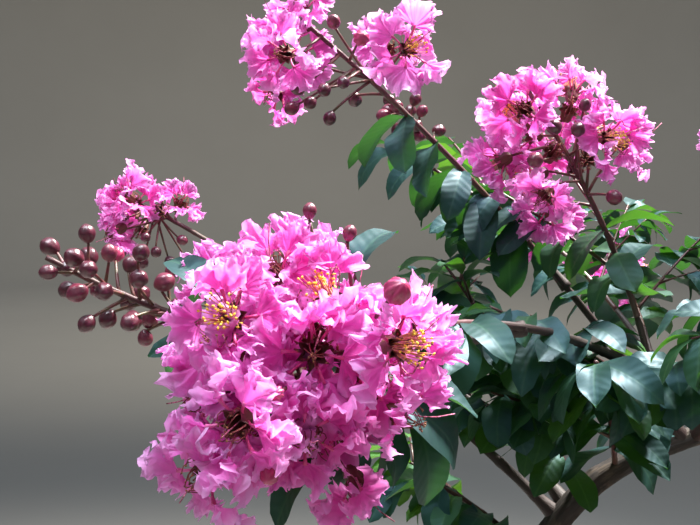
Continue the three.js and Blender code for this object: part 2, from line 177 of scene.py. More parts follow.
def resampled(profile, step):
    """The same profile with points no further apart than step."""
    points = []
    for first, second in zip(profile, profile[1:]):
        parts = max(1, math.ceil(math.dist(first, second) / step))
        points += [[a + (b - a) * part / parts for a, b in zip(first, second)] for part in range(parts)]
    return np.array([*points, profile[-1]])


def turns_of(sides):
    """The turns of evenly spaced points round a ring."""
    return np.arange(sides) / sides * math.tau


def lathe(profile, sides):
    """A turned shape's corners, one ring for each point of its profile, and its wall's and ends' faces."""
    turn = turns_of(sides)
    ring = np.stack([np.cos(turn), np.sin(turn), np.zeros(sides)], -1)
    corners = profile[:, None, :1] * ring + profile[:, None, 1:] * np.array([0, 0, 1])
    foot = np.arange(sides)[None, ::-1]
    top = (len(profile) - 1) * sides + np.arange(sides)[None, :]
    return corners, (grid_faces(len(profile), sides, wrap=True), foot, top)


def feed(tree, socket, value):
    """Links a socket to the one that is given, or sets it to a plain value."""
    if isinstance(value, bpy.types.NodeSocket):
        tree.links.new(value, socket)
    else:
        socket.default_value = value


def add_node(tree, kind, settings=None, **sockets):
    """A node with its settings, and its sockets fed by name, or by number after an underscore."""
    node = tree.nodes.new(kind)
    for key, value in (settings or {}).items():
        setattr(node, key, value)
    for key, value in sockets.items():
        feed(tree, node.inputs[int(key[1:]) if key[1:].isdigit() else key.replace("_", " ")], value)
    return node


def worked(tree, operation, *values):
    """The result of one step of arithmetic."""
    node = add_node(tree, "ShaderNodeMath", {"operation": operation})
    for socket, value in zip(node.inputs, values):
        feed(tree, socket, value)
    return node.outputs[0]


def ranged(tree, value, start, stop, low=0.0, high=1.0):
    """A value that goes from low to high while another goes from start to stop."""
    spread = add_node(
        tree, "ShaderNodeMapRange", Value=value, From_Min=start, From_Max=stop, To_Min=low, To_Max=high
    )
    return spread.outputs["Result"]


def mixed(tree, share, first, second):
    """The colour between two colours at a share of the way."""
    mix = add_node(tree, "ShaderNodeMix", {"data_type": "RGBA"}, Factor=share, _6=first, _7=second)
    return mix.outputs[2]


def clouds(tree, place, across, detail, roughness=0.5):
    """Soft noise with lumps so many millimetres across."""
    pitch = worked(tree, "DIVIDE", 1.0, across)
    node = add_node(tree, "ShaderNodeTexNoise", Vector=place, Scale=pitch, Detail=detail, Roughness=roughness)
    return node.outputs["Fac"]


def shader_group(name, inputs, output, kind):
    """A new node group with its input sockets and one output, and its input and output nodes' sockets."""
    group = bpy.data.node_groups.new(name, "ShaderNodeTree")
    for label, input_kind, value in inputs:
        socket = group.interface.new_socket(name=label, in_out="INPUT", socket_type="NodeSocket" + input_kind)
        socket.default_value = value
    group.interface.new_socket(name=output, in_out="OUTPUT", socket_type="NodeSocket" + kind)
    given, out = group.nodes.new("NodeGroupInput"), group.nodes.new("NodeGroupOutput")
    return group, given.outputs, out.inputs[output]


blotches, given, out = shader_group(
    "blotches",
    (
        ("Place", "Vector", (0, 0, 0)),
        ("Ground", "Color", CLAY),
        ("Patch", "Color", CLAY_PALE),
        ("Across", "Float", 20.0),
        ("From", "Float", 0.45),
        ("To", "Float", 0.65),
        ("Most", "Float", 1.0),
    ),
    "Colour",
    "Color",
)
cloud = clouds(blotches, given["Place"], given["Across"], 4.0, 0.6)
cover = ranged(blotches, cloud, given["From"], given["To"], 0.0, given["Most"])
blotches.links.new(mixed(blotches, cover, given["Ground"], given["Patch"]), out)

relief, given, out = shader_group(
    "relief",
    (
        ("Place", "Vector", (0, 0, 0)),
        ("Grain", "Float", 1.0),
        ("Lumps", "Float", 8.0),
        ("Lumpy", "Float", 0.5),
    ),
    "Height",
    "Float",
)
fine = clouds(relief, given["Place"], given["Grain"], 3.0)
wide = clouds(relief, given["Place"], given["Lumps"], 3.0)
blend = add_node(relief, "ShaderNodeMix", {"data_type": "FLOAT"}, Factor=given["Lumpy"], A=fine, B=wide)
relief.links.new(blend.outputs[0], out)


def place_of(tree, stretch=(1, 1, 1)):
    """A piece's own coordinates in millimetres, squeezed by stretch along each axis."""
    own = add_node(tree, "ShaderNodeAttribute", {"attribute_name": "place"}).outputs["Vector"]
    squeezed = add_node(tree, "ShaderNodeVectorMath", {"operation": "MULTIPLY"}, _0=own, _1=stretch)
    return squeezed.outputs["Vector"]


def blotched(tree, place, ground, patch, **sizes):
    """A ground colour with patches of another: how wide, where they start and stop, and their most cover."""
    sizes |= {"Place": place, "Ground": ground, "Patch": patch}
    return add_node(tree, "ShaderNodeGroup", {"node_tree": blotches}, **sizes).outputs["Colour"]


def rough_normal(tree, shader, place, depth, **sizes):
    """Relief in a shader's normal: its depth, its grain's and lumps' sizes and the lumps' share."""
    height = add_node(tree, "ShaderNodeGroup", {"node_tree": relief}, Place=place, **sizes).outputs["Height"]
    bump = add_node(tree, "ShaderNodeBump", Strength=1.0, Distance=depth * MM, Height=height)
    tree.links.new(bump.outputs["Normal"], shader.inputs["Normal"])
    return bump.outputs["Normal"]


def new_material(name, **sockets):
    """A material with a Principled shader that has these plain values on its own sockets."""
    material = bpy.data.materials.new(name)
    material.use_nodes = True
    shader = material.node_tree.nodes["Principled BSDF"]
    for key, value in sockets.items():
        shader.inputs[key.replace("_", " ")].default_value = value
    return material, material.node_tree, shader


shoulder = POT_HEIGHT - RIM_BAND
pot_profile = resampled(
    rounded(
        [
            [AXIS_GAP, 0],
            [FOOT_RADIUS - RIM_ROUNDING, 0],
            [FOOT_RADIUS, RIM_ROUNDING],
            [SHOULDER_RADIUS, shoulder - BEVEL],
            [RIM_RADIUS - RIM_ROUNDING, shoulder],
            [RIM_RADIUS - BEVEL, shoulder + RIM_ROUNDING],
            [RIM_RADIUS, POT_HEIGHT - RIM_ROUNDING],
            [RIM_RADIUS - RIM_ROUNDING, POT_HEIGHT],
            [pot_inside(POT_HEIGHT) + LIP_SLOPE, POT_HEIGHT],
            [pot_inside(POT_HEIGHT), POT_HEIGHT - RIM_ROUNDING],
            [pot_inside(POT_FLOOR), POT_FLOOR],
            [AXIS_GAP, POT_FLOOR],
        ]
    ),
    PROFILE_STEP,
)
pot_corners, pot_faces = lathe(pot_profile, POT_SIDES)
for ring in pot_corners:
    lifted = min(1.0, ring[0, 2] / RELIEF_START)
    for corner in ring:
        turn = math.atan2(corner[1], corner[0])
        oval = OUT_OF_ROUND * math.sin(2 * turn + corner[2] * OVAL_TWIST)
        wander = RING_WANDER * math.sin(turn + corner[2] * SLOW_PITCH)
        rings = THROWING_RING * math.sin(corner[2] * RING_PITCH + wander)
        dents = DENT * noise.noise(Vector(corner) * DENT_PITCH)
        corner[:2] *= 1 + lifted * (oval + rings + dents) / RELIEF_RADIUS
        if corner[2] > POT_HEIGHT - RIM_TOP:
            corner[2] += RIM_WAVE * noise.noise(Vector(corner) * SLOW_PITCH)
pot_pile = Pile()
pot_pile.add(pot_corners, pot_faces)

clay, tree, shader = new_material("fired_clay", Roughness=0.88, Specular_IOR_Level=0.28)
place = place_of(tree)
fired = blotched(tree, place, CLAY, CLAY_PALE, Across=34.0, From=0.4, To=0.68)
damp = blotched(tree, place, fired, CLAY_DAMP, Across=60.0, From=0.5, To=0.62, Most=0.55)
height_here = add_node(tree, "ShaderNodeSeparateXYZ", Vector=place).outputs["Z"]
lime = ranged(tree, height_here, *LIME_HEIGHTS, *LIME_COVERS)
limed = blotched(tree, place, damp, LIME_BLOOM, Across=13.0, From=0.5, To=0.72, Most=lime)
gritty = blotched(tree, place, limed, CLAY_DAMP, Across=1.3, From=0.6, To=0.7, Most=0.5)
tree.links.new(gritty, shader.inputs["Base Color"])
rough_normal(tree, shader, place, depth=0.5, Grain=0.8, Lumps=6.0, Lumpy=0.35)

pot = pot_pile.mesh("clay_pot", [clay])
drill_pile = Pile()
for hole in range(DRAIN_HOLES):
    turn = hole * math.tau / DRAIN_HOLES
    barrel_ends = np.array([[DRAIN_RADIUS, -DRILL_OVERRUN], [DRAIN_RADIUS, POT_FLOOR + DRILL_OVERRUN]])
    barrel, faces = lathe(barrel_ends, DRILL_SIDES)
    barrel += np.array([DRAIN_CIRCLE * math.cos(turn), DRAIN_CIRCLE * math.sin(turn), 0])
    drill_pile.add(barrel, faces)
drill = drill_pile.mesh("drill", [clay])
bored = pot.modifiers.new("drain_holes", "BOOLEAN")
bored.object, bored.solver = drill, "EXACT"
solid_pot = bpy.data.meshes.new_from_object(pot.evaluated_get(bpy.context.evaluated_depsgraph_get()))
pot.modifiers.clear()
pot.data = solid_pot
# The drilling empties the clay's coordinates, so they are set again.
pot_places = np.zeros(3 * len(solid_pot.vertices))
solid_pot.vertices.foreach_get("co", pot_places)
solid_pot.attributes["place"].data.foreach_set("vector", pot_places / MM)
bpy.data.objects.remove(drill)
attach(pot, "root")
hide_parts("pot")


# The potting soil: dark crumbly compost that fills the pot to a finger's width under the rim and is heaped a
# little round the trunk. Loose crumbs, bits of composted bark and pale perlite lie on it.
SOIL_TOP = 192
SOIL_DOME = 5
CLEARANCE = 0.3
TRUNK_RADIUS = 9
ROOT_FLARE = 7
HEAP_RADIUS = (TRUNK_RADIUS + ROOT_FLARE) * 1.7
# Where the heap has gone down to the dome's shoulder, and how high that is, as shares.
SHOULDER_REACH = 0.6
SHOULDER_RISE = 0.8
TOP_GAP = 0.6
SOIL_RINGS = 64
SOIL_SIDES = 150
SOIL_LUMPS = 1.7
LUMP_PITCH = 0.11
CRUMB_PITCH = 0.3
CRUMBS = 900
# What the loose bits are by turns: crumbs (0), bark (1) or perlite (2). Then come each kind's least and
# greatest size, how uneven their breadths and corners are, and how a chip of bark is flattened.
CRUMB_KINDS = (0, 0, 0, 0, 0, 0, 1, 1, 2)
CRUMB_SIZES = ((0.7, 2.2), (1.2, 3.4), (0.8, 1.7))
CRUMB_BREADTHS = (0.6, 1.4)
CRUMB_LUMPS = (0.75, 1.25)
CHIP_SHAPE = np.array([1.5, 0.8, 0.35])
NEAR_CORNERS = 1.2
CRUMB_SEED = 11
CRUMB_SINK = 0.2
EDGE_GAP = 4
INNERMOST = 0.03
SOIL_DARK = (0.030, 0.019, 0.012, 1)
SOIL_DRY = (0.085, 0.056, 0.036, 1)
BARK_CHIP = (0.115, 0.058, 0.030, 1)
PERLITE = (0.62, 0.58, 0.52, 1)

soil_edge = pot_inside(SOIL_TOP) - CLEARANCE


def unit(vectors):
    """Vectors at length one."""
    return vectors / np.linalg.norm(vectors, axis=-1, keepdims=True)


def soil_height(radius):
    """The soil's own dome, before its lumps."""
    reach = [0, HEAP_RADIUS, pot_inside(SOIL_TOP) * SHOULDER_REACH, soil_edge]
    dome = SOIL_TOP + SOIL_DOME
    return np.interp(radius, reach, [dome, dome, SOIL_TOP + SOIL_DOME * SHOULDER_RISE, SOIL_TOP])


def soil_lump(x, y):
    """How far the crumbly top stands up at a place."""
    coarse = noise.noise(Vector((x * LUMP_PITCH, y * LUMP_PITCH, 3)))
    crumbly = noise.turbulence(Vector((x * CRUMB_PITCH, y * CRUMB_PITCH, 9)), 3, False)
    return SOIL_LUMPS * (0.7 * coarse + 0.8 * crumbly - 0.9)


def patchy_material(name, ground, patch, patches, grain=None, stretch=(1, 1, 1), **sockets):
    """A material of one colour with patches of another in it, and with fine relief if grain is given."""
    material, tree, shader = new_material(name, **sockets)
    place = place_of(tree, stretch)
    tree.links.new(blotched(tree, place, ground, patch, **patches), shader.inputs["Base Color"])
    if grain:
        rough_normal(tree, shader, place, **grain)
    return material


top_radii = np.linspace(TOP_GAP, soil_edge, SOIL_RINGS)
soil_profile = np.array(
    [[AXIS_GAP, POT_FLOOR + CLEARANCE], [pot_inside(POT_FLOOR) - CLEARANCE, POT_FLOOR + CLEARANCE]]
    + [[radius, soil_height(radius)] for radius in top_radii[::-1]]
)
soil_corners, soil_faces = lathe(soil_profile, SOIL_SIDES)
for ring in soil_corners[2:]:
    for corner in ring:
        corner[2] += soil_lump(corner[0], corner[1])
soil_pile = Pile()
soil_pile.add(soil_corners, soil_faces)

# A crumb starts as a regular shape of twenty faces: every three corners that stand close make one.
chance = np.random.default_rng(CRUMB_SEED)
golden = (1 + 5**0.5) / 2
first_corners = np.array([[0, a, b * golden] for a in (-1, 1) for b in (-1, 1)])
crumb_corners = unit(np.concatenate([np.roll(first_corners, shift, axis=1) for shift in range(3)]))
crumb_faces = []
for triple in itertools.combinations(range(12), 3):
    first, second, third = crumb_corners[list(triple)]
    if max(math.dist(first, second), math.dist(second, third), math.dist(first, third)) < NEAR_CORNERS:
        outward = np.cross(second - first, third - first) @ (first + second + third) > 0
        crumb_faces.append(triple if outward else triple[::-1])
for crumb in range(CRUMBS):
    kind = CRUMB_KINDS[crumb % len(CRUMB_KINDS)]
    size = chance.uniform(*CRUMB_SIZES[kind])
    spread = size * chance.uniform(*CRUMB_BREADTHS, 3) * (CHIP_SHAPE if kind == 1 else 1)
    lumpy = crumb_corners * chance.uniform(*CRUMB_LUMPS, (12, 1)) * spread
    spin = chance.uniform(0, math.tau)
    spun = lumpy.copy()
    spun[:, 0] = lumpy[:, 0] * math.cos(spin) - lumpy[:, 1] * math.sin(spin)
    spun[:, 1] = lumpy[:, 0] * math.sin(spin) + lumpy[:, 1] * math.cos(spin)
    radius = (soil_edge - EDGE_GAP) * math.sqrt(chance.uniform(INNERMOST, 1))
    turn = chance.uniform(0, math.tau)
    x, y = radius * math.cos(turn), radius * math.sin(turn)
    spun += [x, y, soil_height(radius) + soil_lump(x, y) + CRUMB_SINK * size]
    soil_pile.add(spun, crumb_faces, kind)

soil_look = {
    "patches": {"Across": 4.5, "From": 0.42, "To": 0.66, "Most": 0.8},
    "grain": {"depth": 0.7, "Grain": 0.5, "Lumps": 2.4, "Lumpy": 0.5},
    "Roughness": 0.94,
    "Specular_IOR_Level": 0.25,
}
soil_materials = [
    patchy_material("compost", SOIL_DARK, SOIL_DRY, **soil_look),
    patchy_material("composted_bark", BARK_CHIP, SOIL_DRY, **soil_look),
    patchy_material("perlite", PERLITE, LIME_BLOOM, **soil_look),
]
soil = soil_pile.mesh("potting_soil", soil_materials)
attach(soil, "root")
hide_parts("soil")


# The trunk: one stem that leans out of the pot and sweeps back over it in an S. Its thin grey-brown bark is
# smooth and shallowly fluted, flakes off in plates that leave tan patches, and flares where the roots begin.
TRUNK_CUT = SOIL_TOP + SOIL_DOME + CLEARANCE
TRUNK_LINE = [
    np.array(point, float)
    for point in ((14, 3, TRUNK_CUT - 17), (-95, -22, 290), (-80, -20, 377), (54, 0, 393))
]
TRUNK_TIP_RADIUS = 4.4
FOOT_SHARE = 0.055
FLARE_SHARE = 0.045
TRUNK_SIDES = 56
TRUNK_RINGS = 260
RING_CROWDING = 1.05
LEVEL_RINGS = 14
CUT_DIP = 1.5
TAPER_POWER = 1.2
# Depths in the bark, the flutes' and buttresses' as shares of the trunk's radius.
FLUTE = 0.05
BUTTRESS = 0.16
BUTTRESS_SHARE = 0.07
PLATE_EDGE = 0.32
FIBRE = 0.16
SWELLING = 0.35
# Knots where limbs once grew: share of the way up, turn round the trunk and height.
KNOTS = ((0.33, 1.0, 2.6), (0.47, 3.9, 2.2), (0.74, 5.3, 2.0), (0.24, 4.6, 1.8))
KNOT_BREADTH = 5.0
KNOT_LENGTH = 6.5
TRUNK_LENGTH = 330
BARK_GREY = (0.028, 0.024, 0.022, 1)
BARK_BROWN = (0.042, 0.031, 0.025, 1)
BARK_TAN = (0.090, 0.067, 0.048, 1)
BARK_DARK = (0.012, 0.010, 0.009, 1)
UP = np.array([0.0, 0.0, 1.0])


def point_on(line, share):
    """The point of a Bezier curve at a share of its way, by halving its control points' steps."""
    points = list(line)
    while len(points) > 1:
        points = [a + (b - a) * share for a, b in zip(points, points[1:])]
    return points[0]


def heading_on(line, share):
    """The unit direction of a Bezier curve at a share of its way."""
    return unit(point_on(line, min(share + 1e-4, 1)) - point_on(line, max(share - 1e-4, 0)))


def course_of(line, shares):
    """Points of a Bezier curve at shares of its way, and its directions there."""
    points = [point_on(line, share) for share in shares]
    return np.array(points), np.array([heading_on(line, share) for share in shares])


def steps_of(points):
    """The distance from each point to the next."""
    return np.linalg.norm(np.diff(points, axis=0), axis=1)


def run_of(points):
    """How far along a row of points each of them lies."""
    return np.concatenate([[0], np.cumsum(steps_of(points))])


def wheel_of(sides, across, aside):
    """The directions round a ring that lies in the plane of two directions."""
    turn = turns_of(sides)[:, None]
    return np.cos(turn) * across + np.sin(turn) * aside


def tube_along(points, headings, radii, sides):
    """Corners, faces and straightened coordinates of a closed tube. radii has a row for each ring."""
    across = unit(np.cross(headings[0], [0.3, 1.0, 0.2]))
    turn = turns_of(sides)
    radii = np.broadcast_to(np.asarray(radii, float).reshape(len(points), -1), (len(points), sides))
    run = run_of(points)
    corners, places = np.empty((len(points), sides, 3)), np.empty((len(points), sides, 3))
    for ring, (middle, along) in enumerate(zip(points, headings)):
        across = unit(across - along * (across @ along))
        wheel = wheel_of(sides, across, np.cross(along, across))
        corners[ring] = middle + radii[ring][:, None] * wheel
        flat = [np.cos(turn) * radii[ring], np.sin(turn) * radii[ring], np.full(sides, run[ring])]
        places[ring] = np.stack(flat, -1)
    count = len(points) * sides
    around = np.arange(sides)
    beside = (around + 1) % sides
    foot = np.stack([np.full(sides, count), beside, around], -1)
    top = np.stack([np.full(sides, count + 1), count - sides + around, count - sides + beside], -1)
    corners = np.concatenate([corners.reshape(-1, 3), [points[0], points[-1]]])
    places = np.concatenate([places.reshape(-1, 3), [[0, 0, run[0]], [0, 0, run[-1]]]])
    return corners, (grid_faces(len(points), sides, wrap=True), np.concatenate([foot, top])), places


def trunk_radius(share):
    """The trunk's own taper and root flare, without its bark's relief."""
    taper = TRUNK_RADIUS + (TRUNK_TIP_RADIUS - TRUNK_RADIUS) * share**TAPER_POWER
    return taper + ROOT_FLARE * math.exp(-max(0, share - FOOT_SHARE) / FLARE_SHARE)


def bark_noise(turn, run, around, along):
    """Noise on the trunk, finer for a larger pitch around it or along it."""
    return noise.noise(Vector((math.cos(turn) * around, math.sin(turn) * around, run * along)))


def bark_relief(turn, run, radius, share):
    """How far the bark stands out at a place on the trunk."""
    twist = turn + run * 0.006
    flare = math.exp(-max(0, share - FOOT_SHARE) / BUTTRESS_SHARE)
    flutes = radius * FLUTE * (math.sin(3 * twist + 0.8) + 0.6 * math.sin(5 * twist + run * 0.01))
    buttress = radius * BUTTRESS * flare * (math.sin(4 * turn + 0.4) + 0.5 * math.sin(3 * turn + 2))
    spot = Vector((math.cos(turn) * 7, math.sin(turn) * 7, run * 0.42))
    plates = noise.noise(spot * 0.17 + Vector((4, 0, 0)))
    ledge = PLATE_EDGE * (0.5 + 0.5 * math.tanh((plates - 0.04) * 16))
    fibres = FIBRE * bark_noise(turn, run, 11, 0.13)
    swelling = SWELLING * bark_noise(turn, run, 1.5, 0.035)
    knots = 0
    for knot_share, knot_turn, height in KNOTS:
        aside = (turn - knot_turn + math.pi) % math.tau - math.pi
        away = math.hypot(aside * radius / KNOT_BREADTH, (share - knot_share) * TRUNK_LENGTH / KNOT_LENGTH)
        knots += height * math.exp(-away * away) * (1 - 0.55 * math.exp(-away * away * 6))
    return flutes + buttress + ledge + fibres + swelling + knots


def bark_material(name, ground, patches, streaks, grain, stretches, **sockets):
    """Bark with patches of other colours, and with dark streaks and relief drawn out along the limb."""
    material, tree, shader = new_material(name, **sockets)
    place, long_place = place_of(tree, stretches[0]), place_of(tree, stretches[1])
    for patch, sizes in patches:
        ground = blotched(tree, place, ground, patch, **sizes)
    streaked = blotched(tree, long_place, ground, BARK_DARK, **streaks)
    tree.links.new(streaked, shader.inputs["Base Color"])
    rough_normal(tree, shader, long_place, **grain)
    return material


trial_shares = [step / 2000 for step in range(2000)]
first_share = next(share for share in trial_shares if point_on(TRUNK_LINE, share)[2] >= TRUNK_CUT - CUT_DIP)
trunk_shares = first_share + (1 - first_share) * np.linspace(0, 1, TRUNK_RINGS) ** RING_CROWDING
trunk_points, trunk_headings = course_of(TRUNK_LINE, trunk_shares)
levelled = np.clip(1 - np.arange(TRUNK_RINGS) / LEVEL_RINGS, 0, 1)[:, None]
trunk_headings = unit(trunk_headings * (1 - levelled) + UP * levelled)
trunk_radii = np.empty((TRUNK_RINGS, TRUNK_SIDES))
for ring, (share, run) in enumerate(zip(trunk_shares, run_of(trunk_points))):
    radius = trunk_radius(share)
    for side in range(TRUNK_SIDES):
        trunk_radii[ring, side] = radius + bark_relief(side / TRUNK_SIDES * math.tau, run, radius, share)
trunk_pile = Pile()
corners, faces, places = tube_along(trunk_points, trunk_headings, trunk_radii, TRUNK_SIDES)
trunk_pile.add(corners, faces, 0, places)
bark = bark_material(
    "smooth_bark",
    BARK_GREY,
    (
        (BARK_BROWN, {"Across": 11.0, "From": 0.4, "To": 0.62}),
        (BARK_TAN, {"Across": 7.5, "From": 0.55, "To": 0.6, "Most": 0.62}),
    ),
    streaks={"Across": 1.4, "From": 0.52, "To": 0.7, "Most": 0.55},
    grain={"depth": 0.55, "Grain": 0.7, "Lumps": 3.0, "Lumpy": 0.5},
    stretches=((1, 1, 0.42), (1, 1, 0.09)),
    Roughness=0.72,
    Specular_IOR_Level=0.35,
)
trunk = trunk_pile.mesh("bark_trunk", [bark])
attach(trunk, "root")
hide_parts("trunk")


# The boughs: slim woody limbs that leave the trunk in swollen collars and fan out all round. Their bark is
# thinner and redder than the trunk's, with low rings where leaves once stood.
BOUGH_SIDES = 12
BOUGH_STEP = 2.2
STEM_RADIUS = 1.4
STEM_TIP_RADIUS = 0.95
# Where a bough leaves the trunk, and where it leaves another: its radius and its collar's height and reach.
TRUNK_ROOT = (2.7, 1.9, 5.0)
FORK_ROOT = (2.0, 0.95, 2.0)
COLLAR_FADE = 7
LEAF_SCAR = 0.28
SCAR_SPACING = 23
SCAR_SHIFT = 9
SCAR_WIDTH = 2.2
BOUGH_LUMP = 0.28
LUMP_SHARE = 0.35
# How far each limb's pattern lies from the next one's.
PATTERN_SHIFT = 400
BOUGH_BROWN = (0.034, 0.018, 0.016, 1)
BOUGH_GREY = (0.045, 0.033, 0.029, 1)
# One row for each limb. Share is where it leaves its parent, heading is in degrees, reach and rise lead to
# its tip, and arch and bow bend it up and aside. Bare is the share of it that is woody, spread is its truss's
# radius, core the share of the truss that is closed, and turn where its first flower stands.
LIMB_FIELDS = "name side parent share heading reach rise arch bow bare flowers buds spread core turn".split()
LIMBS = [
    dict(zip(LIMB_FIELDS, row))
    for row in (
        ("front_left", "near", "trunk", 0.95, 229.5, 339, 74, 34, -7, 0.6, 16, 0, 36, 0.7, 1.48),
        ("left_bud", "left", "front_left", 0.52, 187, 172, 28, -18, 0, 0.6, 0, 13, 16, 0, 0),
        ("left", "left", "trunk", 0.63, 165, 237, 160, 14, 0, 0.6, 4, 0, 19, 0.7, 4),
        ("upper_left", "upper", "trunk", 0.9, 199, 200, 199, 13, 0, 0.42, 5, 4, 26, 0, 0),
        ("upper_back", "upper", "upper_left", 0.34, 158, 92, 92, 4, 0, 0.2, 0, 6, 11, 0, 0),
        ("upper_front", "upper", "trunk", 0.86, 220, 105, 173, 0, 16, 0.42, 9, 0, 29, 0.75, 0.35),
        ("low_left", "left", "trunk", 0.52, 195, 54, 44, 4, 0, 0, 0, 0, 0, 0, 0),
        ("inner_left", "left", "trunk", 0.69, 222, 78, 98, 8, 0, 0, 0, 0, 0, 0, 0),
        ("inner_front", "front", "trunk", 0.78, 250, 102, 72, 10, 0, 0, 0, 0, 0, 0, 0),
        ("inner_mid", "front", "trunk", 0.84, 232, 66, 58, 10, 0, 0, 0, 0, 0, 0, 0),
        ("front", "front", "trunk", 0.92, 277, 212, 92, 28, 0, 0.3, 5, 0, 24, 0.75, 0),
        ("front_low", "front", "front", 0.14, 292, 158, -18, 16, 0, 0.3, 4, 0, 20, 0.75, 0),
        ("top_right", "top", "trunk", 1, 8, 92, 208, 0, 12, 0.45, 6, 0, 25, 0.75, 0),
        ("front_right", "right", "trunk", 0.985, 314, 226, 70, 30, 0, 0.35, 6, 0, 25, 0.75, 0),
        ("right_low", "right", "front_right", 0.25, 345, 176, -8, 18, 0, 0.25, 4, 0, 20, 0.75, 0),
        ("right", "right", "top_right", 0.16, 354, 196, 66, 22, 0, 0.3, 5, 0, 24, 0.75, 0),
        ("right_back", "back", "trunk", 0.97, 36, 222, 72, 28, 0, 0.35, 5, 0, 23, 0.75, 0),
        ("back", "back", "trunk", 0.88, 84, 222, 66, 26, 0, 0.35, 5, 0, 24, 0.75, 0),
        ("back_left", "back", "trunk", 0.66, 128, 218, 62, 26, 0, 0.35, 5, 0, 22, 0.75, 0),
        ("inner_back", "back", "back", 0.24, 122, 130, 76, 12, 0, 0.2, 4, 0, 20, 0.75, 0),
        ("top_back", "top", "top_right", 0.3, 88, 110, 108, 8, 0, 0.2, 5, 0, 21, 0.75, 0),
        ("top_front", "top", "top_right", 0.38, 292, 104, 98, 10, 0, 0.2, 5, 0, 23, 0.75, 0),
    )
]
SIDES = ("near", "left", "upper", "top", "front", "right", "back")


def length_of(line):
    """The length along a Bezier curve."""
    return steps_of(np.array([point_on(line, step / 200) for step in range(201)])).sum()


def limb_line(limb, parent):
    """The whole line of a limb, a parabola from its root on the parent to its tip."""
    heading = math.radians(limb["heading"])
    outward = np.array([math.cos(heading), math.sin(heading), 0])
    aside = np.array([-outward[1], outward[0], 0])
    root = point_on(parent, limb["share"])
    tip = root + outward * limb["reach"] + UP * limb["rise"]
    return [root, (root + tip) / 2 + UP * 2 * limb["arch"] + aside * 2 * limb["bow"], tip]


def stretch_of(line, start, stop):
    """The part of a parabola between two shares of it."""
    bend = line[0] * (1 - start) * (1 - stop) + line[1] * (start + stop - 2 * start * stop)
    return [point_on(line, start), bend + line[2] * start * stop, point_on(line, stop)]


def bough_lump(turn, run, number):
    """How lumpy a bough's bark is at a place on it."""
    return BOUGH_LUMP * noise.noise(Vector((math.cos(turn) * 2, math.sin(turn) * 2, run * 0.09 + number * 7)))


lines = {"trunk": TRUNK_LINE}
for limb in LIMBS:
    lines[limb["name"]] = limb_line(limb, lines[limb["parent"]])
bough_pile = Pile()
for number, limb in enumerate(LIMBS):
    if limb["bare"] == 0:
        continue
    line = stretch_of(lines[limb["name"]], 0, limb["bare"])
    shares = np.linspace(0, 1, round(length_of(line) / BOUGH_STEP))
    points, headings = course_of(line, shares)
    run = run_of(points)
    root_radius, collar, reach = TRUNK_ROOT if limb["parent"] == "trunk" else FORK_ROOT
    radii = root_radius + (STEM_RADIUS - root_radius) * shares
    radii = radii + collar * np.exp(-np.maximum(0, run - reach) / COLLAR_FADE)
    past_scar = (run + SCAR_SHIFT * number) % SCAR_SPACING - SCAR_SPACING / 2
    radii = radii + LEAF_SCAR * np.exp(-(past_scar**2) / SCAR_WIDTH)
    rough = np.array([[bough_lump(turn, along, number) for turn in turns_of(BOUGH_SIDES)] for along in run])
    radii = radii[:, None] * (1 + LUMP_SHARE * rough)
    corners, faces, places = tube_along(points, headings, radii, BOUGH_SIDES)
    bough_pile.add(corners, faces, 0, places + [0, 0, number * PATTERN_SHIFT])

bough_bark = bark_material(
    "young_bark",
    BOUGH_BROWN,
    ((BOUGH_GREY, {"Across": 6.0, "From": 0.42, "To": 0.6}),),
    streaks={"Across": 0.9, "From": 0.52, "To": 0.7, "Most": 0.5},
    grain={"depth": 0.3, "Grain": 0.5, "Lumps": 2.0, "Lumpy": 0.4},
    stretches=((1, 1, 0.3), (1, 1, 0.1)),
    Roughness=0.6,
    Specular_IOR_Level=0.4,
)
boughs = bough_pile.mesh("bark_boughs", [bough_bark])
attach(boughs, "root")
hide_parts(*["bough_" + limb["name"] for limb in LIMBS if limb["bare"] > 0])


# The stems and twigs: each bough runs on into a young red-brown stem with side twigs to its left and right,
# and the twigs bear finer ones, all by one seeded rule. Their skin swells a little at the leaves' nodes.
FIRST_SEED = 1000
SEED_STEP = 77
STEM_RINGS = 6
# Radius at the root and at the tip, sides, length of a ring and shift of the pattern.
STEM_MAKE = (STEM_RADIUS * 1.04, STEM_TIP_RADIUS, 9, 2.5, 0)
TWIG_MAKE = (1.0, 0.6, 6, 4.5, 90)
FINE_TWIG_MAKE = (0.75, 0.45, 5, 6, 150)
NODE_SPACING = 13
NODE_SWELLING = 0.13
TWIG_SPACING = 40
TWIG_LENGTH = 66
TWIG_FORWARD = 0.75
TWIG_LIFT = 0.22
TWIG_SAG = 0.05
TWIG_TURN = 1.1
FINE_TWIG_SHARES = (0.3, 0.52, 0.74)
FINE_TWIG_LENGTH = 0.46
FINE_TWIG_LENGTHS = (0.7, 1.1)
FINE_TWIG_FORWARD = 0.9
FINE_TWIG_LIFT = 0.12
FINE_TWIG_TURN = 0.7
TRUSS_LENGTHENING = 1.15
BUD_TRUSS_LENGTHENING = 1.9
# Where the twigs begin on a stem that follows a bough, as a share, and on one that leaves the trunk. Then the
# least share of a stem that is leafy, and where on the rest of it the middle of the truss lies.
WOODY_BARE = 0.04
ROOT_BARE = 12
LEAST_LEAFY = 0.15
TRUSS_MIDDLE = 0.55
# Stems with no finer twigs, and how many leaf spacings apart their pairs of leaves stand.
LOOSE_STEMS = {"upper_left": 2.0, "upper_back": 1.6, "upper_front": 1.25}
# Open sky: the middle and radius of balls that stay free of twigs and leaves, one over the upper left truss's
# stem, one beside the highest truss and two over the near one.
OPEN_SKY = (((-114, -75, 561), 25), ((34, 80, 556), 42), ((-223, 40, 494), 34), ((-226, 84, 494), 26))
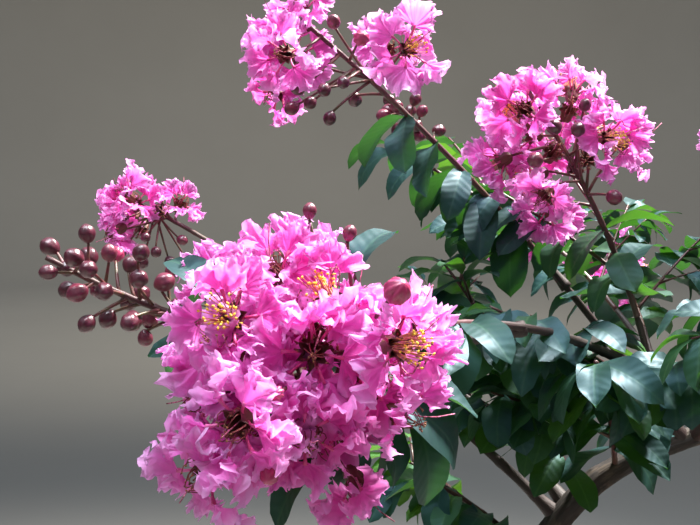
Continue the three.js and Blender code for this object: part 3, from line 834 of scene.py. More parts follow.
# Leaves among the near truss's stalks: base from its middle, the way each points, its length, roll and tint.
NEAR_TRUSS_LEAVES = (
    ((-26, 10, 9), (-1.0, 0.15, -0.25), 23, -0.7, 0),
    ((3, -10, -23), (-0.62, -0.15, -0.72), 22, -0.5, 0),
    ((-24, 6, 15), (-0.38, 0.1, 0.90), 26, -0.6, 1),
    ((22, 6, -11), (0.92, -0.2, -0.10), 36, 0.6, 0),
    ((20, 14, -6), (0.95, 0.1, -0.15), 34, 0.3, 1),
    ((13, 4, -20), (0.10, 0.0, -1.0), 24, 1.2, 0),
    ((14, 16, 24), (0.35, 0.3, 0.85), 26, 0.3, 1),
    ((31, 14, -16), (0.45, -0.2, -0.88), 31, 0.4, 1),
    ((21, 10, -20), (0.25, 0.05, -0.95), 28, 0.3, 0),
    ((26, 20, -12), (0.80, 0.3, -0.55), 34, 0.4, 2),
    ((18, 4, -14), (0.60, -0.1, -0.55), 26, 0.4, 0),
)
LEAF_STALK_RADII = (0.8, 0.7, 0.6, 0.55, 0.5)
STEM_RED = (0.074, 0.022, 0.024, 1)
STEM_GREEN = (0.085, 0.075, 0.032, 1)


def seeded(seed):
    """A seeded run of numbers from 0 to 1, the same on every machine."""
    state = seed % 2**32

    def draw():
        nonlocal state
        state = (state * 1664525 + 1013904223) % 2**32
        return state / 2**32

    return draw


def middle_of(line, rings, share):
    """A place on the straight-edged middle line that the stem's solid follows."""
    ring = min(math.floor(share * rings), rings - 1)
    first, second = point_on(line, ring / rings), point_on(line, (ring + 1) / rings)
    return first + (second - first) * (share * rings - ring)


def turned(vector, axis, turn):
    """A vector turned about an axis of length one."""
    part = axis * (axis @ vector) * (1 - math.cos(turn))
    return vector * math.cos(turn) + np.cross(axis, vector) * math.sin(turn) + part


def sideways(along, turn, forward):
    """The unit direction that leaves a stem sideways, leaning forward along it."""
    flat = np.cross(along, UP)
    if np.linalg.norm(flat) < 0.15:
        flat = np.array([1.0, 0, 0])
    return unit(turned(unit(flat), along, turn) + along * forward)


def in_open_sky(spot):
    """True for a place where the plant is open."""
    return any(np.linalg.norm(spot - middle) < radius for middle, radius in OPEN_SKY)


def twig_line(root, direction, length):
    """A twig's line, which sags a little on its way."""
    tip = root + unit(direction) * length
    return [root, (root + tip) / 2 + UP * TWIG_SAG * length, tip]


def twigs_on(stem, start, stop, draw):
    """Side twigs along a stem, alternately left and right of it."""
    count = round(length_of(stem) * (stop - start) / TWIG_SPACING)
    made = []
    for number in range(count):
        share = start + (number + 0.35) / count * (stop - start)
        turn = number * math.pi + (draw() - 0.5) * TWIG_TURN
        direction = sideways(heading_on(stem, share), turn, TWIG_FORWARD)
        direction[2] += TWIG_LIFT
        length = TWIG_LENGTH * (0.75 + 0.5 * draw()) * (1 - 0.35 * share)
        made.append(twig_line(middle_of(stem, STEM_RINGS, share), direction, length))
    return [twig for twig in made if not in_open_sky(twig[2])]


def fine_twigs_on(twig, chance):
    """Finer twigs along a twig, alternately left and right of it."""
    made = []
    for number, share in enumerate(FINE_TWIG_SHARES):
        turn = number * math.pi + chance.uniform(-FINE_TWIG_TURN, FINE_TWIG_TURN)
        direction = sideways(heading_on(twig, share), turn, FINE_TWIG_FORWARD) + UP * FINE_TWIG_LIFT
        length = FINE_TWIG_LENGTH * length_of(twig) * chance.uniform(*FINE_TWIG_LENGTHS)
        length = length * (1.15 - 0.5 * share)
        made.append(twig_line(point_on(twig, share), direction, length))
    return [fine for fine in made if not in_open_sky(fine[2])]


def add_wood(pile, line, make, shift):
    """Adds a tapering stem along a line to a pile."""
    radius, tip_radius, sides, step, own_shift = make
    shares = np.linspace(0, 1, max(3, round(length_of(line) / step)))
    points, headings = course_of(line, shares)
    beats = np.linspace(0, length_of(line) / NODE_SPACING * math.tau, len(shares))
    radii = (radius + (tip_radius - radius) * shares) * (1 + NODE_SWELLING * np.cos(beats) ** 8)
    corners, faces, places = tube_along(points, headings, radii, sides)
    pile.add(corners, faces, 0, places + [0, 0, shift + own_shift])


def bent_line(start, stop, lift):
    """A line that is lifted in its middle on the way from start to stop."""
    return [start, (start + stop) / 2 + lift, stop]


def add_thread(pile, line, radii, sides, tint):
    """Adds a thin stalk along a line to a pile, with one ring for each radius."""
    points, headings = course_of(line, np.linspace(0, 1, len(radii)))
    corners, faces, _ = tube_along(points, headings, radii, sides)
    pile.add(corners, faces, tint)


def truss_centre(spray):
    """The middle of the truss at a stem's end."""
    start, stop = point_on(spray["stem"], spray["leafy"]), point_on(spray["stem"], 1)
    return start + (stop - start) * TRUSS_MIDDLE


def dress_sprays(name, pile, materials, side):
    """Makes the piece that a pile holds, in place of the sprays on one side of the crown."""
    if pile.count:
        piece = pile.mesh(name, materials)
        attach(piece, "root")
        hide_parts(*["spray_" + limb["name"] for limb in LIMBS if limb["side"] == side])


stem_piles = {side: Pile() for side in SIDES}
sprays = {}
for number, limb in enumerate(LIMBS):
    seed = FIRST_SEED + number * SEED_STEP
    draw, chance = seeded(seed), np.random.default_rng(seed)
    line = lines[limb["name"]]
    woody = limb["bare"] > 0
    stem = stretch_of(line, limb["bare"] + CLEARANCE / length_of(line) if woody else 0, 1)
    stem_length = length_of(stem)
    lengthening = TRUSS_LENGTHENING if limb["flowers"] else BUD_TRUSS_LENGTHENING
    truss_share = 2 * limb["spread"] * lengthening / stem_length
    leafy = max(LEAST_LEAFY, 1 - truss_share) if limb["spread"] else 1
    bare = WOODY_BARE if woody else ROOT_BARE / stem_length
    twigs = twigs_on(stem, bare, leafy, draw)
    fine_twigs = []
    if limb["name"] not in LOOSE_STEMS:
        fine_twigs = [fine for twig in twigs for fine in fine_twigs_on(twig, chance)]
    for make, made in ((STEM_MAKE, [stem]), (TWIG_MAKE, twigs), (FINE_TWIG_MAKE, fine_twigs)):
        for wood in made:
            add_wood(stem_piles[limb["side"]], wood, make, number * PATTERN_SHIFT)
    sprays[limb["name"]] = dict(
        seed=seed, draw=draw, stem=stem, leafy=leafy, bare=bare, twigs=twigs, fine_twigs=fine_twigs
    )

spray = sprays["front_left"]
stalk_root = middle_of(spray["stem"], STEM_RINGS, spray["leafy"] + 0.1)
for offset, *_ in NEAR_TRUSS_LEAVES:
    stalk = bent_line(stalk_root, truss_centre(spray) + offset, UP * 2)
    add_thread(stem_piles["near"], stalk, LEAF_STALK_RADII, 5, 0)

stem_skin = patchy_material(
    "red_stem",
    STEM_RED,
    STEM_GREEN,
    {"Across": 14.0, "From": 0.48, "To": 0.7, "Most": 0.75},
    {"depth": 0.1, "Grain": 0.4, "Lumps": 1.5, "Lumpy": 0.4},
    (1, 1, 0.3),
    Roughness=0.45,
    Specular_IOR_Level=0.5,
)

for side in SIDES:
    dress_sprays("stems_" + side, stem_piles[side], [stem_skin], side)


# The leaves: opposite pairs of smooth elliptic leaves with almost no stalk, folded a little along the midrib
# and arched to the tip. They are leathery and glossy, dark blue-green above and paler below.
LEAF_LENGTH = 33
LEAF_BREADTH = 0.48
LEAF_SPACING = 9.0
LEAF_FORWARD = 0.85
LEAF_DROOP = 0.85
LEAF_ROLL = 1.1
LEAF_TURN = 0.9
LEAF_LIFT = 0.1
# A leaf's least size against its row's, and how much more it may have.
LEAF_SIZES = (0.84, 0.28)
# The leaf at a twig's tip: the share of the way where it stands, its droop, roll and size.
END_LEAF = (0.98, 0.25, 0.2, 0.9)
# The blade's outline: powers of its rise from the base and fall to the tip, and the breadths at both ends.
LEAF_POWERS = (0.62, 0.52)
LEAF_ENDS = (0.045, 0.012)
# Where leaves stand along twigs and fine twigs, their size against those on the stem, and the seeds' factor.
TWIG_LEAVES = (0.3, 0.95, 0.9, 31)
FINE_TWIG_LEAVES = (0.4, 0.95, 0.72, 43)
STEM_LEAF_SEED = (17, 5)
LEAF_SEED = 5
NEAR_SEED = 3
HANGING_STEMS = ("upper_left",)
HANG = 0.45
LEAF_ROWS = 10
LEAF_COLUMNS = 7
# The least and greatest curve, fold, wave and breadth of a leaf, and how far it twists either way.
LEAF_CURVES = (0.5, 1.9)
LEAF_FOLDS = (0.08, 0.45)
LEAF_WAVES = (0.015, 0.05)
LEAF_BREADTHS = (0.88, 1.08)
LEAF_TWIST = 0.35
# Each blade has its own place in its material's pattern, up to this far away.
PATTERN_REACH = 900
# The share of a row's leaves that have the row's own tint.
SAME_TINT = 0.7
# How far leaves keep from the trunk's bark, from the middle of a limb and, as a share of its radius, from a
# truss, and the shares of a leaf where this is tried.
WOOD_GAP = 1.5
LIMB_GAP = 3.4
TRUSS_GAP = 1.02
TRIED_SHARES = (0.35, 0.65, 1.0)
# Each tint's name, its upper side, its lower side and ribs, and the light that shines through it.
LEAF_TINTS = (
    ("leaf_deep", (0.012, 0.038, 0.034, 1), (0.040, 0.092, 0.058, 1), (0.05, 0.20, 0.012, 1)),
    ("leaf_blue", (0.018, 0.050, 0.050, 1), (0.052, 0.110, 0.080, 1), (0.05, 0.20, 0.015, 1)),
    ("leaf_mid", (0.022, 0.064, 0.030, 1), (0.062, 0.135, 0.050, 1), (0.09, 0.30, 0.015, 1)),
    ("leaf_fresh", (0.045, 0.125, 0.020, 1), (0.095, 0.200, 0.040, 1), (0.14, 0.38, 0.02, 1)),
)
TINT_SHARES = (0.36, 0.34, 0.2, 0.1)
# The blue in the leaves' reflections is a painted sky reflection; the lamps themselves are warm or near
# white.
LEAF_SHEEN = (0.42, 0.75, 1.0, 1)
LEAF_GLOW = 0.2
# The midrib's pale line: where it starts and is full, from the middle, and its most cover.
RIB_EDGES = (0.75, 0.15)
RIB_COVER = 0.55
VEIN_SLANT = -0.75
VEIN_PITCH = 1.75
RIB_SINK = -2.2


def leaves_on(name, line, rings, start, stop, length, end_leaf, draw):
    """Places for leaves in opposite pairs along a stem: base, direction, roll and length of each."""
    run = np.linalg.norm(point_on(line, start) - point_on(line, stop))
    pairs = max(1, round(run / (LEAF_SPACING * LOOSE_STEMS.get(name, 1))))
    hang = HANG if name in HANGING_STEMS else 0
    made = []
    for pair in range(pairs):
        share = start + (pair + 0.6) / pairs * (stop - start)
        along = heading_on(line, share)
        steep = (pair % 2) * math.pi / 2 if abs(along[2]) > 0.75 else 0
        turn = steep + (draw() - 0.5) * LEAF_TURN
        base = middle_of(line, rings, share) if rings > 1 else point_on(line, share)
        for hand in (0, math.pi):
            direction = sideways(along, turn + hand, LEAF_FORWARD * (0.7 + 0.6 * draw()))
            direction[2] += LEAF_LIFT - LEAF_DROOP * draw() - hang
            roll = LEAF_ROLL * (draw() - 0.5)
            made.append((base, unit(direction), roll, length * (LEAF_SIZES[0] + LEAF_SIZES[1] * draw())))
    if end_leaf:
        share, droop, roll, size = END_LEAF
        made.append((point_on(line, share), unit(heading_on(line, 1) - UP * droop), roll, length * size))
    return made


truss_balls = [(truss_centre(sprays[limb["name"]]), limb["spread"]) for limb in LIMBS if limb["spread"]]
wood_points, wood_radii = [], []
for share in np.linspace(0, 1, 60):
    wood_points.append(point_on(TRUNK_LINE, share))
    wood_radii.append(trunk_radius(share) + WOOD_GAP)
    for limb in LIMBS:
        wood_points.append(point_on(lines[limb["name"]], share * limb["bare"]))
        wood_radii.append(LIMB_GAP)
wood_points, wood_radii = np.array(wood_points), np.array(wood_radii)


def leaf_is_free(base, direction, length):
    """False where a leaf would stand in open sky or in blossom, or cut through a limb."""
    for share in TRIED_SHARES:
        spot = base + direction * length * share
        if in_open_sky(spot) or (np.linalg.norm(wood_points - spot, axis=1) < wood_radii).any():
            return False
        if any(np.linalg.norm(spot - centre) < spread * TRUSS_GAP for centre, spread in truss_balls):
            return False
    return True


leaf_along = np.linspace(0, 1, LEAF_ROWS) ** 0.9
leaf_across = np.linspace(-1, 1, LEAF_COLUMNS)
leaf_outline = leaf_along ** LEAF_POWERS[0] * (1 - leaf_along) ** LEAF_POWERS[1]
leaf_outline = np.maximum(leaf_outline / leaf_outline.max(), LEAF_ENDS[0])
leaf_outline[-1] = LEAF_ENDS[1]


def towards(first, second, turn):
    """The direction at a turn from one direction to another that is square to it."""
    return first * math.cos(turn) + second * math.sin(turn)


def laid_out(base, directions, distances):
    """Points at distances from a base along three directions."""
    (along, aside, up), (forward, sideward, raised) = directions, distances
    return base + forward[..., None] * along + sideward[..., None] * aside + raised[..., None] * up


def blade_places(across, along, chance):
    """Coordinates on a blade for its material, at a random place in the material's pattern."""
    own_number = np.full(np.broadcast_shapes(across.shape, along.shape), chance.uniform(0, PATTERN_REACH))
    return np.stack(np.broadcast_arrays(across, along, own_number), -1)


def leaf_corners(base, direction, roll, length, chance):
    """Corners of one leaf as a grid, and their places on the blade."""
    side = unit(np.cross(direction, UP + [0.001, 0, 0]))
    side = towards(side, np.cross(direction, side), roll)
    face = np.cross(side, direction)
    bend, fold = chance.uniform(*LEAF_CURVES), chance.uniform(*LEAF_FOLDS)
    wave, phase = chance.uniform(*LEAF_WAVES), chance.uniform(0, math.tau)
    twist = chance.uniform(-LEAF_TWIST, LEAF_TWIST)
    breadth = length * LEAF_BREADTH * chance.uniform(*LEAF_BREADTHS) / 2
    turn = bend * leaf_along * 0.9
    forward = leaf_along * (np.sin(turn + 1e-6) / (turn + 1e-6)) * length
    drop = -leaf_along * (1 - np.cos(turn)) / (turn + 1e-6) * length
    across = leaf_across[None, :] * leaf_outline[:, None] * breadth
    raised = drop[:, None] + fold * np.abs(across)
    raised = raised + wave * length * np.sin(leaf_along * 11 + phase)[:, None] * leaf_across[None, :] ** 2
    lean = twist * leaf_along[:, None]
    sideward = across * np.cos(lean)
    raised = raised + across * np.sin(lean)
    corners = laid_out(base, (direction, side, face), (forward[:, None], sideward, raised))
    return corners, blade_places(across, leaf_along[:, None] * length, chance)


def let_light_through(tree, shader, share, **sockets):
    """Gives a thin surface a share of the light that shines through it."""
    through = add_node(tree, "ShaderNodeBsdfTranslucent", **sockets)
    surface, inner = shader.outputs["BSDF"], through.outputs["BSDF"]
    both = add_node(tree, "ShaderNodeMixShader", _0=share, _1=surface, _2=inner)
    tree.links.new(both.outputs["Shader"], tree.nodes["Material Output"].inputs["Surface"])


leaf_faces = grid_faces(LEAF_ROWS, LEAF_COLUMNS)
leaf_piles = {side: Pile() for side in SIDES}
for limb in LIMBS:
    spray, pile = sprays[limb["name"]], leaf_piles[limb["side"]]
    seed, chance = spray["seed"], np.random.default_rng(spray["seed"] + LEAF_SEED)
    stem_seed = seed * STEM_LEAF_SEED[0] + STEM_LEAF_SEED[1]
    rows = [(spray["stem"], STEM_RINGS, spray["bare"], spray["leafy"], 1, not limb["spread"], stem_seed)]
    for kind, (start, stop, size, factor) in (("twigs", TWIG_LEAVES), ("fine_twigs", FINE_TWIG_LEAVES)):
        for number, twig in enumerate(spray[kind]):
            rows.append((twig, 1, start, stop, size, True, seed * factor + number))
    for line, rings, start, stop, size, end_leaf, row_seed in rows:
        draw = seeded(row_seed)
        row = leaves_on(limb["name"], line, rings, start, stop, LEAF_LENGTH * size, end_leaf, draw)
        tint = int(chance.choice(len(LEAF_TINTS), p=TINT_SHARES))
        for leaf in row:
            own = tint if chance.uniform() < SAME_TINT else int(chance.choice(len(LEAF_TINTS), p=TINT_SHARES))
            base, direction, roll, length = leaf
            if leaf_is_free(base, direction, length):
                corners, blade = leaf_corners(*leaf, chance)
                pile.add(corners, leaf_faces, own, blade)

chance = np.random.default_rng(NEAR_SEED)
for offset, direction, length, roll, tint in NEAR_TRUSS_LEAVES:
    base = truss_centre(sprays["front_left"]) + offset
    corners, blade = leaf_corners(base, unit(np.array(direction)), roll, length, chance)
    leaf_piles["near"].add(corners, leaf_faces, tint, blade)

leaf_materials = []
for name, upper, lower, lit in LEAF_TINTS:
    material, tree, shader = new_material(
        name, Roughness=0.5, Specular_IOR_Level=0.43, Specular_Tint=LEAF_SHEEN
    )
    blade = place_of(tree)
    spot = add_node(tree, "ShaderNodeSeparateXYZ", Vector=blade).outputs
    from_rib = worked(tree, "ABSOLUTE", spot["X"])
    rib = ranged(tree, from_rib, *RIB_EDGES, 0.0, RIB_COVER)
    shaded = blotched(tree, blade, upper, lower, Across=16.0, From=0.42, To=0.75, Most=0.35)
    below = add_node(tree, "ShaderNodeNewGeometry").outputs["Backfacing"]
    both_sides = mixed(tree, below, mixed(tree, rib, shaded, lower), lower)
    tree.links.new(both_sides, shader.inputs["Base Color"])
    slant = worked(tree, "MULTIPLY_ADD", from_rib, VEIN_SLANT, spot["Y"])
    wave = worked(tree, "SINE", worked(tree, "MULTIPLY", slant, VEIN_PITCH))
    rib_height = worked(tree, "MULTIPLY_ADD", rib, RIB_SINK, wave)
    veins = add_node(tree, "ShaderNodeBump", Strength=0.3, Distance=0.1 * MM, Height=rib_height)
    tree.links.new(veins.outputs["Normal"], shader.inputs["Normal"])
    let_light_through(tree, shader, LEAF_GLOW, Color=lit)
    leaf_materials.append(material)

for side in SIDES:
    dress_sprays("leaves_" + side, leaf_piles[side], leaf_materials, side)


# The trusses' stalks: the stem runs on through each truss and sends a thin red stalk to every flower and bud.
# A flower's stalk ends in a ribbed green and maroon cup with six pointed lobes.
PETALS = 6
STALK_RADII = (0.75, 0.5)
STALK_RINGS = 6
CUP_RADIUS = 2.6
CUP_DEPTH = 5.6
CUP_SIDES = 24
CUP_RIB = 0.11
CUP_SINK = 1.5
# How far behind the middle of a bud or of a flower its stalk ends, and how the stalk is bent on the way.
BUD_HEEL = 2.5
CUP_HEEL = CUP_DEPTH + 1.0
STALK_BENDS = (0.05, -0.08)
# Rings of a cup: share of its depth, share of its radius, lobes' height and how far they narrow.
CUP_RINGS = (
    (0.0, 0.25, 0, 0),
    (0.16, 0.75, 0, 0),
    (0.45, 1.0, 0, 0),
    (0.8, 0.98, 0, 0),
    (1.0, 1.1, 0, 0),
    (1.0, 1.4, 0.55, 0.22),
    (1.05, 1.6, 1.1, 0.42),
)
GOLDEN_TURN = math.pi * (3 - 5**0.5)
# How far down round its ball a truss's flowers reach, where 2 is all the way. The first stalk leaves high on
# the stem inside the truss, and each next one lower.
TRUSS_COVER = 1.75
FIRST_STALK = 0.92
STALK_DESCENT = 0.85
# Flowers inside the ball of a truss: their share of the outer ones' count and of its radius.
INNER_LAYERS = ((0.85, 0.64), (0.45, 0.3))
INNER_TURN = 1.3
# Buds added to trusses of flowers and to trusses of buds: shares of the count and of the radius, and turn.
FLOWER_TRUSS_BUDS = (0.7, 1.1, 2.2)
BUD_TRUSS_BUDS = (1.1, 0.72, 1.1)
FLOWER_SEED = 9
INNER_SEED = (7, 3)
FLOWER_SIZES = (0.88, 1.08)
FRESH_SHARE = 0.45
NOD = 0.2
DROOP = 0.1
STALK_RED = (0.150, 0.030, 0.040, 1)
CUP_GREEN = (0.110, 0.060, 0.028, 1)
CUP_MAROON = (0.160, 0.028, 0.034, 1)
# Flowers that stand apart: how far each has moved, the way it looks, its bloom, petals and size.
FLOWER_MOVES = {
    "front_left": {
        0: ((-1, 0, -3), (-0.60, -0.72, -0.35), "past", 6, 1.0),
        1: ((-4, 1, -14), (-0.40, -0.88, -0.25), "past", 6, 1.0),
        2: ((11, -3, 0), (-0.75, -0.60, -0.25), "past", 6, 1.0),
        3: ((-2, 2, 9), (0.15, -0.95, -0.25), "past", 6, 1.0),
        4: ((1, -5, -10), (-0.15, -0.95, 0.25), "fresh", 6, 1.0),
        5: ((0, 0, 4), (-0.55, -0.40, -0.73), "past", 6, 0.95),
        6: ((6, 0, 7), (0.55, -0.80, 0.15), "fresh", 6, 1.0),
        7: ((7, 0, 0), (-0.75, -0.60, 0.25), "past", 6, 1.0),
        8: ((5, 0, 5), (0.35, -0.45, -0.82), "past", 4, 0.9),
        9: ((-4, 0, -12), (-0.30, -0.75, 0.60), "fresh", 6, 1.0),
        11: ((-6, -3, 0), (0.80, -0.50, -0.33), "past", 3, 1.0),
        12: ((1, 0, -5), (-0.50, -0.45, 0.74), "past", 6, 1.0),
        14: ((-7, -3, -9), (0.55, -0.70, 0.46), "past", 6, 0.85),
        22: ((-4, 3, 4), (-0.30, -0.60, 0.75), "past", 6, 1.0),
        25: ((1, 0, 5), (-0.50, 0.10, 0.86), "past", 6, 1.0),
    },
    "upper_left": {
        0: ((-2, 0, -2), (-0.69, -0.30, 0.65), "past", 6, 1.0),
        1: ((-4, -2, -4), (-0.55, -0.80, -0.10), "past", 6, 1.15),
        2: ((-19, 0, -7), (-0.30, -0.80, 0.50), "past", 6, 1.0),
        3: ((-7, -4, -5), (-0.70, -0.55, -0.45), "past", 6, 1.0),
        5: ((17, -12, -4), (0.10, -0.85, 0.35), "past", 6, 1.1),
        6: ((-15, 8, 24), (-0.10, -0.90, 0.20), "past", 6, 1.1),
        7: ((0, -4, -6), (0.35, -0.90, 0.10), "fresh", 6, 1.3),
    },
    "upper_front": {
        1: ((-3, 0, 1), (-0.60, -0.75, 0.20), "past", 6, 1.1),
        4: ((3, 0, -7), (0.40, -0.88, -0.05), "fresh", 6, 1.1),
        10: ((0, 0, 0), (0.10, -0.70, 0.70), "past", 0, 0.9),
        12: ((2, 0, 0), (0.20, -0.80, 0.45), "past", 0, 0.9),
        15: ((-3, 0, 0), (-0.30, -0.90, -0.20), "past", 0, 0.9),
        16: ((0, 0, 0), (0.20, -0.90, 0.20), "past", 0, 0.9),
    },
    "left": {
        0: ((2, -2, -8), (-0.62, -0.52, 0.55), "past", 6, 1.15),
        1: ((-12, -8, -5), (-0.66, -0.66, 0.05), "past", 6, 1.15),
        2: ((-9, -1, 0), (-0.68, -0.42, -0.58), "past", 6, 0.85),
        3: ((-1, 0, -6), (0.50, -0.45, 0.74), "past", 6, 0.85),
        4: ((-4, -8, -6), (-0.10, -0.58, 0.80), "past", 6, 1.15),
        5: ((0, 0, 0), (-0.20, -0.80, -0.50), "past", 0, 0.9),
        6: ((2, 0, -3), (0.30, -0.82, -0.24), "past", 0, 0.9),
    },
    "top_back": {
        1: ((12, 0, 0), (-0.60, 0.78, -0.10), "past", 6, 1.0),
        4: ((8, 0, 0), (-0.40, -0.88, -0.24), "past", 6, 1.0),
        6: ((8, 0, 0), (-0.35, -0.55, 0.75), "fresh", 6, 1.0),
    },
}
# Buds among the flowers: place from the middle of the truss, size, where FULL_BUD is a plain one's, and how
# ripe each is, from 0 to 2.
FULL_BUD = 3.3
BUD_PLACES = {
    "front_left": (
        (24, -39, 25, 3.3, 2),
        (2, 6, 42, 2.1, 1),
        (13, 4, 36, 2.1, 1),
        (-4, -39, 1, 1.8, 2),
        (-6, -38, -19, 2.3, 2),
    ),
    "upper_front": (
        (-9, -30, 8, 3.3, 0),
        (0, -32, 7, 3.0, 0),
        (-16, -28, -5, 3.4, 1),
        (17, -24, -20, 3.3, 1),
        (4, -26, 17, 2.6, 0),
    ),
    "left": (
        (-20, -8, -12, 3.0, 0),
        (-14, -12, -22, 3.2, 0),
        (-3, -10, -28, 3.3, 0),
        (5, -14, -22, 3.0, 0),
        (11, -6, -28, 3.2, 0),
        (18, -8, -16, 3.0, 1),
        (0, -16, -14, 2.8, 0),
        (21, 2, -30, 3.0, 0),
        (-11, -16, -3, 2.7, 0),
    ),
    "upper_left": (
        (-4, -22, 12, 3.0, 1),
        (-19, -14, -14, 3.2, 0),
        (-14, -12, -20, 2.8, 0),
        (-8, -16, -15, 3.0, 0),
        (0, -16, -12, 2.7, 0),
        (-22, -8, -22, 3.1, 1),
        (-6, -4, -26, 3.0, 0),
    ),
}
LIKELY_BUDS = (0.6, 0.32, 0.08)


def truss_places(limb, draw, count, buds, spread, turn, outer=True):
    """Flowers and buds round a ball about the stem's end by the golden angle, with their stalks' roots."""
    spray = sprays[limb["name"]]
    stem, leafy = spray["stem"], spray["leafy"]
    axis, centre = heading_on(stem, 1), truss_centre(spray)
    lengthening = TRUSS_LENGTHENING if limb["flowers"] else BUD_TRUSS_LENGTHENING
    made = []
    for number in range(count):
        rank = (number + 0.5) / count
        lean = 1 - TRUSS_COVER * rank
        is_bud = math.floor((number + 1) * (buds / count)) > math.floor(number * (buds / count))
        outward = sideways(axis, number * GOLDEN_TURN + turn, 0) * math.sqrt(1 - lean**2) + axis * lean
        end = centre + outward * spread * (0.9 + 0.2 * draw()) + axis * lean * spread * (lengthening - 1)
        root = middle_of(stem, STEM_RINGS, leafy + (1 - leafy) * (FIRST_STALK - STALK_DESCENT * rank))
        made.append(dict(bud=is_bud, end=end, out=outward, root=root, turn=draw() * math.pi, outer=outer))
    return made


def basis(outward):
    """Two directions square to one another and to the way that a flower looks."""
    side = unit(np.cross(outward, [0.31, 0.52, -0.79]))
    return side, np.cross(outward, side)


blossoms = {side: [] for side in SIDES}
for limb in LIMBS:
    if not limb["spread"]:
        continue
    spray = sprays[limb["name"]]
    chance = np.random.default_rng(spray["seed"] + FLOWER_SEED)
    inner = seeded(spray["seed"] * INNER_SEED[0] + INNER_SEED[1])
    spread, turn, flowers, buds = limb["spread"], limb["turn"], limb["flowers"], limb["buds"]
    places = truss_places(limb, spray["draw"], flowers + buds, buds, spread, turn)
    if limb["core"]:
        for share, radius_share in INNER_LAYERS if limb["side"] == "near" else INNER_LAYERS[:1]:
            count, inner_turn = round(flowers * share), turn + INNER_TURN
            places += truss_places(limb, inner, count, 0, spread * radius_share, inner_turn, outer=False)
    if limb["name"] in BUD_PLACES:
        for *offset, size, kind in BUD_PLACES[limb["name"]]:
            offset = np.array(offset, float)
            stalk_share = spray["leafy"] + (1 - spray["leafy"]) * chance.uniform(0.2, 0.6)
            place = dict(bud=True, outer=True, turn=0.0, size=size / FULL_BUD, kind=kind)
            place["end"], place["out"] = truss_centre(spray) + offset, unit(offset + UP * 8)
            place["root"] = middle_of(spray["stem"], STEM_RINGS, stalk_share)
            places.append(place)
    else:
        share, radius_share, shift = FLOWER_TRUSS_BUDS if limb["core"] else BUD_TRUSS_BUDS
        count = round((flowers if limb["core"] else buds) * share)
        places += truss_places(limb, inner, count, count, spread * radius_share, turn + shift)
    for number, place in enumerate(places):
        place.setdefault("size", chance.uniform(*FLOWER_SIZES))
        place.setdefault("kind", int(chance.choice(3, p=LIKELY_BUDS)))
        fresh = chance.uniform() < FRESH_SHARE and limb["side"] != "near"
        place["bloom"] = "fresh" if fresh else "past"
        nodding = NOD * chance.normal(size=3) - UP * DROOP
        if number in FLOWER_MOVES.get(limb["name"], {}):
            moved, looks, *rest = FLOWER_MOVES[limb["name"]][number]
            place["bud"] = False
            place["bloom"], place["petals"], place["size"] = rest
            place["end"] = place["end"] + moved
            place["out"] = unit(np.array(looks))
        elif not place["bud"]:
            place["out"] = unit(place["out"] + nodding)
        blossoms[limb["side"]].append(place)


def cup_shape(place):
    """Corners and faces of a flower's cup, open to the front with six pointed lobes."""
    wheel = wheel_of(CUP_SIDES, *basis(place["out"]))
    lobes = np.cos(PETALS * turns_of(CUP_SIDES))
    between_lobes = 1 - (lobes * 0.5 + 0.5)
    ribs = 1 + CUP_RIB * lobes
    corners = []
    for forward, radius, height, narrow in CUP_RINGS:
        out = radius * CUP_RADIUS * (ribs * (1 - between_lobes * narrow))
        deep = (forward - 1) * CUP_DEPTH + height
        corners.append(place["end"] - place["out"] * CUP_SINK + place["out"] * deep + wheel * out[:, None])
    return np.array(corners), grid_faces(len(CUP_RINGS), CUP_SIDES, wrap=True)


stalk_look = {
    "patches": {"Across": 3.5, "From": 0.4, "To": 0.62, "Most": 0.85},
    "grain": {"depth": 0.08, "Grain": 0.3, "Lumps": 1.2, "Lumpy": 0.4},
    "Specular_IOR_Level": 0.45,
}
stalk_materials = [
    patchy_material("red_stalk", STALK_RED, STEM_GREEN, Roughness=0.45, **stalk_look),
    patchy_material("flower_cup", CUP_GREEN, CUP_MAROON, Roughness=0.5, **stalk_look),
]
for side in SIDES:
    pile = Pile()
    for place in blossoms[side]:
        heel = place["end"] - place["out"] * (BUD_HEEL if place["bud"] else CUP_HEEL)
        reach = np.linalg.norm(heel - place["root"])
        lift = (heel - place["root"]) * STALK_BENDS[0] + place["out"] * STALK_BENDS[1] * reach
        add_thread(pile, bent_line(place["root"], heel, lift), np.linspace(*STALK_RADII, STALK_RINGS), 6, 0)
        if not place["bud"]:
            corners, faces = cup_shape(place)
            pile.add(corners, faces, 1)
    dress_sprays("stalks_" + side, pile, stalk_materials, side)


# The petals: six to a flower, each a wide blade as thin as crepe paper on a narrow claw. It is crumpled into
# radiating folds that grow towards the margin, which is torn into small lobes and catches the light.
# The margin's paler colour is partly the petal's own and partly a painted highlight.
CLAW_LENGTH = 6.8
CLAW_RISES = (-0.5, 2.5)
CLAW_RADII = (0.42, 0.36, 0.4, 0.7)
BLADE_REACH = 10.9
BLADE_OPENING = 1.5
# Folds across a blade: how many to a full turn, height, sideways sway, growth towards the margin, how deep
# they notch it, and how far they wander on the way. FOLD_SWELLS is how much their counts and heights vary.
FOLDS = (
    (4.6, 0.18, 0.060, 1.3, 0.07, 1.6),
    (11.0, 0.135, 0.046, 1.9, 0.11, 1.6),
    (25.0, 0.055, 0.020, 2.4, 0.02, 1.6),
    (44.0, 0.030, 0.005, 3.5, 0, 0),
)
FOLD_SWELLS = (0.72, 1.28)
# Waves that set the folds off their even spacing, by height and pitch, and lobes cut into the margin, by
# depth, growth towards the margin and pitch.
FOLD_SHIFTS = ((0.16, 2.3), (0.05, 6.1))
LOBES = ((0.07, 2, 8.5), (0.05, 4, 17))
CREASES = 9
CREASE_DEPTH = 0.7
CREASE_SPACINGS = (1.8, 4.0)
